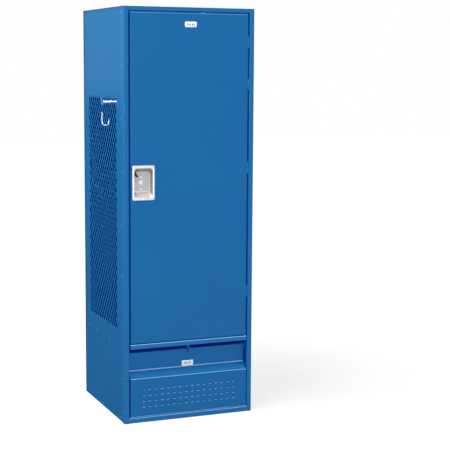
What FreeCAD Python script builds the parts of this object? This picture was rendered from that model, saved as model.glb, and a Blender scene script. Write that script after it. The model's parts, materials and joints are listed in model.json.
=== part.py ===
import FreeCAD, Part
import math
import os
import Sketcher

# Gear locker: a folded sheet-metal cabinet with a hinged door, a lock bar and a drop-front foot locker.
# Millimetres. The origin is on the floor under the middle of the cabinet, the front faces -Y, +Z is up.

SIZES = {
    # Cabinet
    "cabinet_width": 609.6,
    "cabinet_depth": 609.6,
    "cabinet_height": 1828.8,
    "sheet": 1.5,
    "bend": 3.0,
    "upright_face": 22.0,
    "upright_leg": 45.0,
    "stop_gap": 4.0,
    "stop_reach": 20.0,
    "stop_lip": 8.0,
    "top_rail_face": 18.0,
    "bottom_rail_face": 24.0,
    "back_flange": 10.0,
    "top_flange": 22.0,
    "top_overhang": 1.0,
    "panel_setback": 8.0,
    "fit_gap": 0.5,
    # Perforated side walls
    "mesh_front": 108.0,
    "mesh_rear": 76.0,
    "mesh_bottom": 405.0,
    "mesh_top_drop": 388.8,
    "mesh_columns": 6,
    "mesh_rows": 9,
    "mesh_web": 11.0,
    # Wall anchors
    "anchor_spread": 406.4,
    "anchor_low": 500.0,
    "anchor_rise": 1000.0,
    "anchor_radius": 4.5,
    # Shelves and hanging fittings
    "seat_height": 355.5,
    "seat_lip": 20.5,
    "seat_gap": 5.0,
    "hat_shelf_drop": 305.0,
    "hat_shelf_setback": 40.0,
    "shelf_lip": 22.0,
    "rod_radius": 12.7,
    "rod_wall": 1.6,
    "rod_drop": 413.8,
    "rod_setback": 325.0,
    "socket_length": 14.0,
    "socket_wall": 4.0,
    "socket_clearance": 0.3,
    "hook_drop": 520.8,
    "hook_setback": 334.0,
    "hook_height": 59.0,
    "hook_tip": 30.0,
    "hook_reach": 40.0,
    "hook_turn": 14.0,
    "hook_strip": 3.0,
    "hook_width": 14.0,
    # Door
    "door_side_gap": 8.0,
    "door_top_gap": 6.5,
    "door_seat_gap": 4.0,
    "door_thickness": 20.0,
    "door_sheet": 1.9,
    "door_return": 16.0,
    "stiffener_width": 120.0,
    "stiffener_foot": 22.0,
    "stiffener_depth": 14.0,
    "stiffener_margin": 30.0,
    "bumper_radius": 6.0,
    "bumper_clearance": 0.4,
    # Door hinges
    "hinge_height": 52.0,
    "hinge_radius": 3.5,
    "hinge_inset": 2.0,
    "hinge_leaf": 1.6,
    "hinge_pin_radius": 1.8,
    "pin_clearance": 0.05,
    "knuckle_gap": 0.4,
    "swing_clearance": 0.5,
    "hinge_drop_top": 121.0,
    "hinge_drop_upper": 306.0,
    "hinge_drop_middle": 680.0,
    "hinge_rise": 202.5,
    # Latch cup
    "cup_width": 101.6,
    "cup_height": 152.4,
    "cup_inset": 8.8,
    "cup_level": 1071.0,
    "cup_rim_side": 8.8,
    "cup_rim_end": 13.2,
    "cup_sheet": 1.2,
    "cup_depth": 22.0,
    "cup_taper": 4.0,
    "cup_slope": 14.0,
    "cup_corner": 14.0,
    "cup_flange_corner": 7.0,
    "cup_hole_gap": 0.6,
    "plug_radius": 6.5,
    "plug_height": 2.4,
    "rivet_radius": 3.0,
    "rivet_height": 1.6,
    "rivet_offset": 27.5,
    "plug_shift": 5.5,
    "screw_height": 1.0,
    # Lock bar, trigger and keepers
    "bar_width": 12.0,
    "bar_thickness": 3.0,
    "bar_inset": 6.0,
    "bar_edge_gap": 0.9,
    "bar_end_gap": 3.0,
    "bar_travel": 9.0,
    "bar_clearance": 0.4,
    "keeper_thickness": 2.5,
    "keeper_height": 16.0,
    "keeper_notch": 10.0,
    "keeper_nose": 2.4,
    "keeper_window": 7.0,
    "keeper_play": 2.0,
    "keeper_low_rise": 200.0,
    "keeper_middle_drop": 141.0,
    "keeper_top_drop": 204.0,
    "guide_length": 22.0,
    "guide_low_rise": 100.0,
    "guide_middle_drop": 250.0,
    "guide_top_drop": 130.0,
    "trigger_height": 14.0,
    "trigger_reach": 22.0,
    "trigger_rise": 27.0,
    "trigger_play": 1.5,
    # Number plates
    "plate_width": 54.5,
    "plate_height": 24.5,
    "plate_thickness": 0.8,
    "plate_corner": 4.0,
    "plate_drop": 49.0,
    "plate_shift": 2.5,
    # Foot-locker front
    "flap_side_gap": 5.0,
    "flap_bottom_gap": 7.5,
    "flap_bend_height": 200.0,
    "recess_depth": 32.0,
    "finger_gap": 23.0,
    "flap_top_flange": 12.0,
    "flap_stop_gap": 0.4,
    "flap_stop_height": 28.0,
    "flap_stop_reach": 36.0,
    "vent_columns": 16,
    "vent_rows": 4,
    "vent_pitch_across": 28.7,
    "vent_pitch_up": 25.9,
    "vent_width": 10.0,
    "vent_height": 4.6,
    "vent_bottom": 72.0,
    "piano_radius": 3.0,
    "piano_leaf": 1.2,
    "piano_leaf_width": 19.0,
    "piano_inset": 3.2,
    "piano_lift": 3.6,
    "piano_pin_radius": 1.5,
    "piano_knuckles": 5,
    # Padlock tabs
    "tab_thickness": 3.0,
    "tab_gap": 0.4,
    "tab_hole_radius": 4.8,
    "tab_margin": 5.2,
    "tab_reach": 22.0,
    "tab_rise": 14.0,
    "tab_root": 16.0,
}

doc = FreeCAD.newDocument("gear_locker")
sizes = doc.addObject("Spreadsheet::Sheet", "Sizes")
for row, (alias, size) in enumerate(SIZES.items(), start=1):
    sizes.set(f"A{row}", alias)
    sizes.set(f"B{row}", str(size))
    sizes.setAlias(f"B{row}", alias)
doc.recompute()

# Shared lines and planes, as formulas on the sheet
HALF = "(Sizes.cabinet_width/2)"
FRONT = "(-Sizes.cabinet_depth/2)"
REAR = "(Sizes.cabinet_depth/2)"
SHEET = "Sizes.sheet"
UNDER_TOP = "(Sizes.cabinet_height - Sizes.sheet)"
WALL = f"({HALF} - 2*Sizes.sheet)"
BACK_FACE = f"({REAR} - Sizes.sheet)"
JAMB = f"({HALF} - Sizes.upright_face)"
JAMB_BACK = f"({FRONT} + Sizes.door_thickness + Sizes.stop_gap)"
STOP_EDGE = f"({JAMB} - Sizes.stop_reach)"
RAIL_BOTTOM = "(Sizes.cabinet_height - Sizes.top_rail_face)"
SEAT_EDGE = f"({JAMB} - Sizes.seat_gap)"
SEAT_UNDER = "(Sizes.seat_height - Sizes.sheet)"
LIP_BOTTOM = "(Sizes.seat_height - Sizes.seat_lip)"
DOOR_EDGE = f"({JAMB} - Sizes.door_side_gap)"
DOOR_BOTTOM = "(Sizes.seat_height + Sizes.door_seat_gap)"
DOOR_TOP = f"({RAIL_BOTTOM} - Sizes.door_top_gap)"
DOOR_BACK = f"({FRONT} + Sizes.door_thickness)"
SKIN_BACK = f"({FRONT} + Sizes.door_sheet)"
HINGE_X = f"({JAMB} - Sizes.door_side_gap/2)"
HINGE_Y = f"({FRONT} + Sizes.hinge_inset)"
CUP_X = f"(-{DOOR_EDGE} + Sizes.cup_inset + Sizes.cup_width/2)"
CUP_MOUTH_WIDTH = "(Sizes.cup_width - 2*Sizes.cup_rim_side)"
CUP_MOUTH_HEIGHT = "(Sizes.cup_height - 2*Sizes.cup_rim_end)"
BAR_LEFT = f"(-{DOOR_EDGE} + Sizes.door_sheet + Sizes.bar_edge_gap)"
BAR_RIGHT = f"({BAR_LEFT} + Sizes.bar_width)"
BAR_FRONT = f"({FRONT} + Sizes.bar_inset)"
BAR_BACK = f"({BAR_FRONT} + Sizes.bar_thickness)"
KEEPER_X = f"({BAR_LEFT} + Sizes.bar_width/2)"
TRIGGER_BOTTOM = "(Sizes.cup_level + Sizes.trigger_rise)"
FLAP_EDGE = f"({JAMB} - Sizes.flap_side_gap)"
FLAP_BOTTOM = "(Sizes.bottom_rail_face + Sizes.flap_bottom_gap)"
FLAP_TOP = f"({LIP_BOTTOM} - Sizes.finger_gap)"
LEDGE_TOP = "(Sizes.flap_bend_height + Sizes.recess_depth)"
RECESS = f"({FRONT} + Sizes.recess_depth)"
PIANO_Y = f"({FRONT} + Sizes.piano_inset)"
PIANO_Z = "(Sizes.bottom_rail_face + Sizes.piano_lift)"
TAB_HOLE_Y = f"({RECESS} - Sizes.tab_reach/2)"
TAB_HOLE_Z = f"({FLAP_TOP} + Sizes.tab_rise)"

HINGE_LEVELS = [
    f"({DOOR_BOTTOM} + Sizes.hinge_rise)",
    f"({DOOR_TOP} - Sizes.hinge_drop_middle)",
    f"({DOOR_TOP} - Sizes.hinge_drop_upper)",
    f"({DOOR_TOP} - Sizes.hinge_drop_top)",
]
BARREL_SIDES = 12
CORNER_STEPS = 4
BORE_SIDES = 8
BORE_FLAT = f"cos({180 / BORE_SIDES} deg)"
KEEPER_LEVELS = [
    f"({DOOR_BOTTOM} + Sizes.keeper_low_rise)",
    "(Sizes.cup_level - Sizes.keeper_middle_drop)",
    f"({DOOR_TOP} - Sizes.keeper_top_drop)",
]
GUIDE_LEVELS = [
    f"({DOOR_BOTTOM} + Sizes.guide_low_rise)",
    "(Sizes.cup_level - Sizes.guide_middle_drop)",
    f"({DOOR_TOP} - Sizes.guide_top_drop)",
]

nodes = []


def size(formula):
    return float(sizes.evalExpression(formula))


def keep(piece, label):
    piece.Label = label
    nodes.append(piece)
    return piece


def outline(sketch, corners):
    """Closed outline whose every corner is held at its two formulas."""
    start = sketch.GeometryCount
    spots = [FreeCAD.Vector(size(across), size(up), 0) for across, up in corners]
    count = len(spots)
    sketch.addGeometry([Part.LineSegment(spot, spots[(i + 1) % count]) for i, spot in enumerate(spots)])
    joints = [
        Sketcher.Constraint("Coincident", start + i, 2, start + (i + 1) % count, 1) for i in range(count)
    ]
    sketch.addConstraint(joints)
    first = sketch.ConstraintCount
    formulas = []
    held = []
    for index, (across, up) in enumerate(corners):
        for kind, formula in (("DistanceX", across), ("DistanceY", up)):
            held.append(Sketcher.Constraint(kind, -1, 1, start + index, 1, size(formula)))
            formulas.append(formula)
    sketch.addConstraint(held)
    for index, formula in enumerate(formulas):
        sketch.setExpression(f"Constraints[{first + index}]", formula)


def round_hole(sketch, across, up, radius):
    spot = FreeCAD.Vector(size(across), size(up), 0)
    circle = sketch.addGeometry(Part.Circle(spot, FreeCAD.Vector(0, 0, 1), size(radius)))
    number = sketch.addConstraint(Sketcher.Constraint("Radius", circle, size(radius)))
    sketch.setExpression(f"Constraints[{number}]", radius)
    for kind, formula in (("DistanceX", across), ("DistanceY", up)):
        number = sketch.addConstraint(Sketcher.Constraint(kind, -1, 1, circle, 3, size(formula)))
        sketch.setExpression(f"Constraints[{number}]", formula)


def rectangle(left, right, low, high):
    return [(left, low), (right, low), (right, high), (left, high)]


def new_sketch(body, plane, start):
    """Sketch on one of the body's own planes, moved to the start along the plane's world axis."""
    sketch = body.newObject("Sketcher::SketchObject", f"{body.Name}_outline")
    face = [item for item in body.Origin.OriginFeatures if item.Role == f"{plane}_Plane"][0]
    sketch.AttachmentSupport = [(face, "")]
    sketch.MapMode = "FlatFace"
    sketch.setExpression("AttachmentOffset.Base.z", f"-({start})" if plane == "XZ" else start)
    return sketch


def add_pad(body, plane, start, length, outlines):
    sketch = new_sketch(body, plane, start)
    for corners in outlines:
        outline(sketch, corners)
    pad = body.newObject("PartDesign::Pad", f"{body.Name}_pad")
    pad.Profile = sketch
    pad.Reversed = plane == "XZ"
    pad.setExpression("Length", length)
    doc.recompute()
    return pad


def cut_pocket(body, plane, start, length, outlines=(), circles=()):
    before = body.Shape.Volume
    sketch = new_sketch(body, plane, start)
    for corners in outlines:
        outline(sketch, corners)
    for across, up, radius in circles:
        round_hole(sketch, across, up, radius)
    pocket = body.newObject("PartDesign::Pocket", f"{body.Name}_pocket")
    pocket.Profile = sketch
    pocket.Reversed = plane != "XZ"
    pocket.setExpression("Length", length)
    doc.recompute()
    if body.Shape.Volume >= before:
        raise ValueError(f"{body.Name}: a pocket cuts nothing")
    return pocket


def soften(body, plane, corners, radius):
    """Rounds the long edges that stand on the plane at the given corners."""
    pair = {"XY": (0, 1), "XZ": (0, 2), "YZ": (1, 2)}[plane]
    spots = [(size(across), size(up)) for across, up in corners]
    solid = body.Tip
    picked = []
    for number, edge in enumerate(solid.Shape.Edges, start=1):
        ends = [(vertex.Point[pair[0]], vertex.Point[pair[1]]) for vertex in edge.Vertexes]
        if any(all(math.dist(end, spot) < 0.001 for end in ends) for spot in spots):
            picked.append(f"Edge{number}")
    fillet = body.newObject("PartDesign::Fillet", f"{body.Name}_bend")
    fillet.Base = (solid, picked)
    fillet.setExpression("Radius", radius)
    doc.recompute()


def folded(label, plane, start, length, corners, outer_bends=(), inner_bends=()):
    """Folded sheet: a section pulled straight, with its bends rounded outside and inside."""
    body = doc.addObject("PartDesign::Body", label)
    add_pad(body, plane, start, length, [corners])
    if outer_bends:
        soften(body, plane, [corners[index] for index in outer_bends], "Sizes.bend")
    if inner_bends:
        soften(body, plane, [corners[index] for index in inner_bends], "Sizes.bend - Sizes.sheet")
    return keep(body, label)


def block(name, x, y, z, length, width, height):
    box = doc.addObject("Part::Box", name)
    for key, formula in (
        ("Length", length),
        ("Width", width),
        ("Height", height),
        ("Placement.Base.x", x),
        ("Placement.Base.y", y),
        ("Placement.Base.z", z),
    ):
        box.setExpression(key, formula)
    return box


TURNS = {
    "x": FreeCAD.Rotation(FreeCAD.Vector(0, 1, 0), 90),
    "y": FreeCAD.Rotation(FreeCAD.Vector(1, 0, 0), -90),
    "z": FreeCAD.Rotation(),
}


def round_bar(name, axis, x, y, z, radius, length):
    bar = doc.addObject("Part::Cylinder", name)
    bar.Placement = FreeCAD.Placement(FreeCAD.Vector(), TURNS[axis])
    for key, formula in (
        ("Radius", radius),
        ("Height", length),
        ("Placement.Base.x", x),
        ("Placement.Base.y", y),
        ("Placement.Base.z", z),
    ):
        bar.setExpression(key, formula)
    return bar


def barrel(name, axis, x, y, z, radius, length, sides):
    """Straight many-sided bar whose corners lie at the given radius."""
    bar = doc.addObject("Part::Prism", name)
    bar.Polygon = sides
    bar.Placement = FreeCAD.Placement(FreeCAD.Vector(), TURNS[axis])
    for key, formula in (
        ("Circumradius", radius),
        ("Height", length),
        ("Placement.Base.x", x),
        ("Placement.Base.y", y),
        ("Placement.Base.z", z),
    ):
        bar.setExpression(key, formula)
    return bar


def fuse(name, pieces):
    whole = doc.addObject("Part::MultiFuse", name)
    whole.Shapes = pieces
    whole.Refine = True
    return whole


def cut(name, base, tools):
    for tool in tools:
        result = doc.addObject("Part::Cut", name)
        result.Base = base
        result.Tool = tool
        base = result
    return base


def group(label, pieces):
    whole = doc.addObject("Part::Compound", label)
    whole.Links = pieces
    return keep(whole, label)


def mirrored(corners, side):
    """Right-hand section for side 1, left-hand section for side -1."""
    return [(f"{side}*({across})", up) for across, up in corners]


# Cabinet

def uprights():
    section = [
        (HALF, f"{FRONT} + Sizes.upright_leg"),
        (HALF, FRONT),
        (JAMB, FRONT),
        (JAMB, JAMB_BACK),
        (f"{JAMB} + {SHEET}", JAMB_BACK),
        (f"{JAMB} + {SHEET}", f"{FRONT} + {SHEET}"),
        (f"{HALF} - {SHEET}", f"{FRONT} + {SHEET}"),
        (f"{HALF} - {SHEET}", f"{FRONT} + Sizes.upright_leg"),
    ]
    for label, side in (("left_upright", -1), ("right_upright", 1)):
        folded(label, "XY", "0", UNDER_TOP, mirrored(section, side), (1, 2), (5, 6))


def front_rails():
    top = [
        (FRONT, UNDER_TOP),
        (FRONT, RAIL_BOTTOM),
        (JAMB_BACK, RAIL_BOTTOM),
        (JAMB_BACK, f"{RAIL_BOTTOM} + {SHEET}"),
        (f"{FRONT} + {SHEET}", f"{RAIL_BOTTOM} + {SHEET}"),
        (f"{FRONT} + {SHEET}", UNDER_TOP),
    ]
    folded("top_rail", "YZ", f"-{JAMB}", f"2*{JAMB}", top, (1,), (4,))
    height = "Sizes.bottom_rail_face"
    bottom = [
        (FRONT, "0"),
        (FRONT, height),
        (JAMB_BACK, height),
        (JAMB_BACK, f"{height} - {SHEET}"),
        (f"{FRONT} + {SHEET}", f"{height} - {SHEET}"),
        (f"{FRONT} + {SHEET}", SHEET),
        (JAMB_BACK, SHEET),
        (JAMB_BACK, "0"),
    ]
    folded("bottom_rail", "YZ", f"-{JAMB}", f"2*{JAMB}", bottom, (0, 1), (4, 5))


def door_stops():
    lip_back = f"{JAMB_BACK} + {SHEET} + Sizes.stop_lip"
    section = [
        (f"{WALL} - Sizes.fit_gap", JAMB_BACK),
        (STOP_EDGE, JAMB_BACK),
        (STOP_EDGE, lip_back),
        (f"{STOP_EDGE} + {SHEET}", lip_back),
        (f"{STOP_EDGE} + {SHEET}", f"{JAMB_BACK} + {SHEET}"),
        (f"{WALL} - Sizes.fit_gap", f"{JAMB_BACK} + {SHEET}"),
    ]
    low = "Sizes.seat_height + Sizes.fit_gap"
    for label, side in (("left_door_stop", -1), ("right_door_stop", 1)):
        folded(label, "XY", low, f"{UNDER_TOP} - ({low})", mirrored(section, side), (1,), (4,))
    top = [
        (JAMB_BACK, UNDER_TOP),
        (JAMB_BACK, f"{RAIL_BOTTOM} - Sizes.stop_reach"),
        (lip_back, f"{RAIL_BOTTOM} - Sizes.stop_reach"),
        (lip_back, f"{RAIL_BOTTOM} - Sizes.stop_reach + {SHEET}"),
        (f"{JAMB_BACK} + {SHEET}", f"{RAIL_BOTTOM} - Sizes.stop_reach + {SHEET}"),
        (f"{JAMB_BACK} + {SHEET}", UNDER_TOP),
    ]
    edge = f"({STOP_EDGE} - Sizes.fit_gap)"
    folded("top_door_stop", "YZ", f"-{edge}", f"2*{edge}", top, (1,), (4,))


def side_panels():
    """Flat sheets with staggered upright diamonds, cut as one holed face."""
    front = size(f"{FRONT} + Sizes.panel_setback")
    rear = size(f"{BACK_FACE} - (Sizes.bend - Sizes.sheet)")
    top = size(UNDER_TOP)
    mesh_front = size(f"{FRONT} + Sizes.mesh_front")
    mesh_rear = size(f"{REAR} - Sizes.mesh_rear")
    mesh_low = size("Sizes.mesh_bottom")
    mesh_high = size("Sizes.cabinet_height - Sizes.mesh_top_drop")
    columns = int(size("Sizes.mesh_columns"))
    rows = int(size("Sizes.mesh_rows"))
    pitch = (mesh_rear - mesh_front) / columns
    rise = (mesh_high - mesh_low) / rows
    reach = pitch / 2 - size("Sizes.mesh_web") / 2 * math.hypot(pitch, rise) / rise
    height = rise / 2 - size("Sizes.mesh_web") / 2 * math.hypot(pitch, rise) / pitch

    def ring(x, corners):
        return Part.makePolygon([FreeCAD.Vector(x, y, z) for y, z in corners + corners[:1]])

    def diamond(x, y, z):
        return ring(x, [(y - reach, z), (y, z - height), (y + reach, z), (y, z + height)])

    for label, side in (("left_side_panel", -1), ("right_side_panel", 1)):
        x = side * size(f"{HALF} - {SHEET}")
        wires = [ring(x, [(front, 0), (rear, 0), (rear, top), (front, top)])]
        for column in range(columns):
            for row in range(rows):
                wires.append(diamond(x, mesh_front + (column + 0.5) * pitch, mesh_low + (row + 0.5) * rise))
                if column and row:
                    wires.append(diamond(x, mesh_front + column * pitch, mesh_low + row * rise))
        panel = doc.addObject("Part::Feature", label)
        face = Part.makeFace(wires, "Part::FaceMakerBullseye")
        panel.Shape = face.extrude(FreeCAD.Vector(-side * size(SHEET), 0, 0))
        keep(panel, label)


def back_panel():
    flange = f"{REAR} - Sizes.back_flange"
    section = [
        (f"-{HALF}", flange),
        (f"-{HALF}", REAR),
        (HALF, REAR),
        (HALF, flange),
        (f"{HALF} - {SHEET}", flange),
        (f"{HALF} - {SHEET}", BACK_FACE),
        (f"-{HALF} + {SHEET}", BACK_FACE),
        (f"-{HALF} + {SHEET}", flange),
    ]
    panel = folded("back_panel", "XY", "0", UNDER_TOP, section, (1, 2), (5, 6))
    anchors = []
    for side in (-1, 1):
        for level in ("Sizes.anchor_low", "Sizes.anchor_low + Sizes.anchor_rise"):
            anchors.append((f"{side}*Sizes.anchor_spread/2", level, "Sizes.anchor_radius"))
    cut_pocket(panel, "XZ", f"{BACK_FACE} - {SHEET}", f"3*{SHEET}", circles=anchors)


def top_and_bottom():
    drop = f"{UNDER_TOP} - Sizes.top_flange"
    cap = doc.addObject("PartDesign::Body", "top_panel")
    edge = f"({HALF} + Sizes.top_overhang)"
    add_pad(cap, "XY", UNDER_TOP, SHEET, [rectangle(f"-{edge}", edge, FRONT, REAR)])
    front = f"{JAMB_BACK} + {SHEET} + Sizes.stop_lip + Sizes.fit_gap"
    flanges = [
        rectangle(f"{WALL} - {SHEET}", WALL, front, BACK_FACE),
        rectangle(f"-{WALL}", f"-{WALL} + {SHEET}", front, BACK_FACE),
    ]
    add_pad(cap, "XY", drop, "Sizes.top_flange", flanges)
    corners = [(f"{sign}{edge}", end) for sign in ("", "-") for end in (FRONT, REAR)]
    soften(cap, "XY", corners, "Sizes.bend")
    keep(cap, "top_panel")
    height = "Sizes.bottom_rail_face"
    pan = [
        (f"-{WALL}", "0"),
        (f"-{WALL}", height),
        (WALL, height),
        (WALL, "0"),
        (f"{WALL} - {SHEET}", "0"),
        (f"{WALL} - {SHEET}", f"{height} - {SHEET}"),
        (f"-{WALL} + {SHEET}", f"{height} - {SHEET}"),
        (f"-{WALL} + {SHEET}", "0"),
    ]
    folded("bottom_pan", "XZ", JAMB_BACK, f"{BACK_FACE} - {JAMB_BACK}", pan, (1, 2), (5, 6))


def seat_shelf():
    """Shelf over the foot locker: narrow between the jambs, with a turned-down lip on every side."""
    shelf = doc.addObject("PartDesign::Body", "seat_shelf")
    plate = [
        (f"-{SEAT_EDGE}", FRONT),
        (SEAT_EDGE, FRONT),
        (SEAT_EDGE, JAMB_BACK),
        (WALL, JAMB_BACK),
        (WALL, BACK_FACE),
        (f"-{WALL}", BACK_FACE),
        (f"-{WALL}", JAMB_BACK),
        (f"-{SEAT_EDGE}", JAMB_BACK),
    ]
    add_pad(shelf, "XY", SEAT_UNDER, SHEET, [plate])
    lips = [
        rectangle(f"-{SEAT_EDGE}", SEAT_EDGE, FRONT, f"{FRONT} + {SHEET}"),
        rectangle(f"-{WALL}", f"-{WALL} + {SHEET}", JAMB_BACK, BACK_FACE),
        rectangle(f"{WALL} - {SHEET}", WALL, JAMB_BACK, BACK_FACE),
        rectangle(f"-{WALL} + {SHEET}", f"{WALL} - {SHEET}", f"{BACK_FACE} - {SHEET}", BACK_FACE),
    ]
    add_pad(shelf, "XY", LIP_BOTTOM, f"Sizes.seat_lip - {SHEET}", lips)
    soften(shelf, "YZ", [(FRONT, "Sizes.seat_height")], "Sizes.bend")
    soften(shelf, "YZ", [(f"{FRONT} + {SHEET}", SEAT_UNDER)], "Sizes.bend - Sizes.sheet")
    keep(shelf, "seat_shelf")


def hat_shelf():
    level = "(Sizes.cabinet_height - Sizes.hat_shelf_drop)"
    front = f"({FRONT} + Sizes.hat_shelf_setback)"
    shelf = doc.addObject("PartDesign::Body", "hat_shelf")
    add_pad(shelf, "XY", f"{level} - {SHEET}", SHEET, [rectangle(f"-{WALL}", WALL, front, BACK_FACE)])
    lips = [
        rectangle(f"-{WALL}", f"-{WALL} + {SHEET}", front, BACK_FACE),
        rectangle(f"{WALL} - {SHEET}", WALL, front, BACK_FACE),
        rectangle(f"-{WALL} + {SHEET}", f"{WALL} - {SHEET}", front, f"{front} + {SHEET}"),
        rectangle(f"-{WALL} + {SHEET}", f"{WALL} - {SHEET}", f"{BACK_FACE} - {SHEET}", BACK_FACE),
    ]
    add_pad(shelf, "XY", f"{level} - Sizes.shelf_lip", f"Sizes.shelf_lip - {SHEET}", lips)
    soften(shelf, "YZ", [(front, level)], "Sizes.bend")
    keep(shelf, "hat_shelf")


def coat_rod():
    y = f"{FRONT} + Sizes.rod_setback"
    z = "(Sizes.cabinet_height - Sizes.rod_drop)"
    reach = f"({WALL} - Sizes.fit_gap)"
    tube = round_bar("rod_outside", "x", f"-{reach}", y, z, "Sizes.rod_radius", f"2*{reach}")
    bore = round_bar("rod_bore", "x", f"-{WALL}", y, z, "Sizes.rod_radius - Sizes.rod_wall", f"2*{WALL}")
    keep(cut("coat_rod", tube, [bore]), "coat_rod")
    sockets = []
    seat = f"({z} + Sizes.socket_clearance)"
    inside = "(Sizes.rod_radius + Sizes.socket_clearance)"
    outside = f"({inside} + Sizes.socket_wall)"
    for x in (f"-{WALL}", f"{WALL} - Sizes.socket_length"):
        cup = round_bar("socket_round", "x", x, y, seat, outside, "Sizes.socket_length")
        sides = block("socket_sides", x, f"{y} - {outside}", seat, "Sizes.socket_length", f"2*{outside}", outside)
        hollow = round_bar("socket_seat", "x", x, y, seat, inside, "Sizes.socket_length")
        mouth = block("socket_mouth", x, f"{y} - {inside}", seat, "Sizes.socket_length", f"2*{inside}", outside)
        sockets.append(cut("socket", fuse("socket_body", [cup, sides]), [fuse("socket_gap", [hollow, mouth])]))
    group("rod_sockets", sockets)


def coat_hooks():
    """One bent-strip hook on each side wall."""
    y = f"({FRONT} + Sizes.hook_setback)"
    low = "(Sizes.cabinet_height - Sizes.hook_drop)"
    high = f"({low} + Sizes.hook_height)"
    tip = f"({low} + Sizes.hook_tip)"
    strip = "Sizes.hook_strip"
    far = f"({WALL} - Sizes.hook_reach)"
    section = [
        (WALL, high),
        (WALL, low),
        (far, low),
        (far, tip),
        (f"{far} + {strip}", tip),
        (f"{far} + {strip}", f"{low} + {strip}"),
        (f"{WALL} - {strip}", f"{low} + {strip}"),
        (f"{WALL} - {strip}", high),
    ]
    hooks = []
    for side in (-1, 1):
        hook = doc.addObject("PartDesign::Body", "coat_hook")
        corners = mirrored(section, side)
        add_pad(hook, "XZ", f"{y} - Sizes.hook_width/2", "Sizes.hook_width", [corners])
        soften(hook, "XZ", corners[1:3], "Sizes.hook_turn")
        soften(hook, "XZ", corners[5:7], f"Sizes.hook_turn - {strip}")
        hooks.append(hook)
    group("coat_hooks", hooks)


def keepers():
    """Hooked plates on the left door stop that the lock bar drops into."""
    notch_front = f"{BAR_FRONT} - 2*Sizes.bar_clearance"
    notch_back = f"{BAR_BACK} + 2*Sizes.bar_clearance"
    nose = f"{notch_front} - Sizes.keeper_nose"
    left = f"{KEEPER_X} - Sizes.keeper_thickness/2"
    plates = []
    for level in KEEPER_LEVELS:
        low = f"{level} - Sizes.keeper_height/2"
        plate = block(
            "keeper_plate",
            left,
            nose,
            low,
            "Sizes.keeper_thickness",
            f"{JAMB_BACK} - ({nose})",
            "Sizes.keeper_height",
        )
        notch = block(
            "keeper_gap",
            left,
            notch_front,
            f"{level} + Sizes.keeper_height/2 - Sizes.keeper_notch",
            "Sizes.keeper_thickness",
            f"{notch_back} - ({notch_front})",
            "Sizes.keeper_notch",
        )
        plates.append(cut("keeper", plate, [notch]))
    group("latch_keepers", plates)


def bumpers():
    """Rubber buttons on the door stops, just clear of the closed door."""
    length = f"{JAMB_BACK} - {DOOR_BACK} - Sizes.bumper_clearance"
    front = f"{DOOR_BACK} + Sizes.bumper_clearance"
    x = f"-({STOP_EDGE} + Sizes.bumper_radius + Sizes.bend)"
    inset = "4*Sizes.bumper_radius"
    radius = "Sizes.bumper_radius"
    buttons = []
    for level in (f"{DOOR_BOTTOM} + {inset}", f"{DOOR_TOP} - {inset}"):
        buttons.append(barrel("bumper", "y", x, front, level, radius, length, BARREL_SIDES))
    group("door_bumpers", buttons)


# Door hinges

def hinge_parts(level):
    """Frame leaf, door leaf and pin of one three-knuckle hinge."""
    low = f"({level} - Sizes.hinge_height/2)"
    knuckle = "((Sizes.hinge_height - 2*Sizes.knuckle_gap)/3)"
    step = f"({knuckle} + Sizes.knuckle_gap)"
    clear = f"{HINGE_Y} + Sizes.hinge_radius + Sizes.swing_clearance"
    bore_radius = f"(Sizes.hinge_pin_radius + Sizes.pin_clearance)/{BORE_FLAT}"
    leaf_width = f"{DOOR_BACK} - {HINGE_Y}"
    bore = barrel("hinge_bore", "z", HINGE_X, HINGE_Y, low, bore_radius, "Sizes.hinge_height", BORE_SIDES)

    def knuckle_at(place):
        base = f"{low} + {place}*{step}"
        return barrel("knuckle", "z", HINGE_X, HINGE_Y, base, "Sizes.hinge_radius", knuckle, BARREL_SIDES)

    def relief(x, place, start_gap, end_gap):
        base = f"{low} + {place}*{step} - {start_gap}*Sizes.knuckle_gap"
        tall = f"{knuckle} + {start_gap + end_gap}*Sizes.knuckle_gap"
        return block("knuckle_gap", x, HINGE_Y, base, "Sizes.hinge_leaf", f"{clear} - {HINGE_Y}", tall)

    frame_x = f"{JAMB} - Sizes.hinge_leaf"
    frame_leaf = block(
        "leaf", frame_x, HINGE_Y, low, "Sizes.hinge_leaf", leaf_width, "Sizes.hinge_height"
    )
    frame_leaf = cut("frame_leaf_plate", frame_leaf, [relief(frame_x, 1, 1, 1)])
    frame_leaf = fuse("frame_leaf_body", [frame_leaf, knuckle_at(0), knuckle_at(2)])
    frame_leaf = cut("frame_leaf", frame_leaf, [bore])
    door_leaf = block(
        "leaf", DOOR_EDGE, HINGE_Y, low, "Sizes.hinge_leaf", leaf_width, "Sizes.hinge_height"
    )
    door_leaf = cut("door_leaf_plate", door_leaf, [relief(DOOR_EDGE, 0, 0, 1), relief(DOOR_EDGE, 2, 1, 0)])
    door_leaf = fuse("door_leaf_body", [door_leaf, knuckle_at(1)])
    door_leaf = cut("door_leaf", door_leaf, [bore])
    pin = round_bar("hinge_pin", "z", HINGE_X, HINGE_Y, low, "Sizes.hinge_pin_radius", "Sizes.hinge_height")
    return frame_leaf, door_leaf, pin


def door_hinges():
    sets = [hinge_parts(level) for level in HINGE_LEVELS]
    group("hinge_frame_leaves", [item[0] for item in sets])
    group("hinge_door_leaves", [item[1] for item in sets])
    group("hinge_pins", [item[2] for item in sets])


# Door

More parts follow.
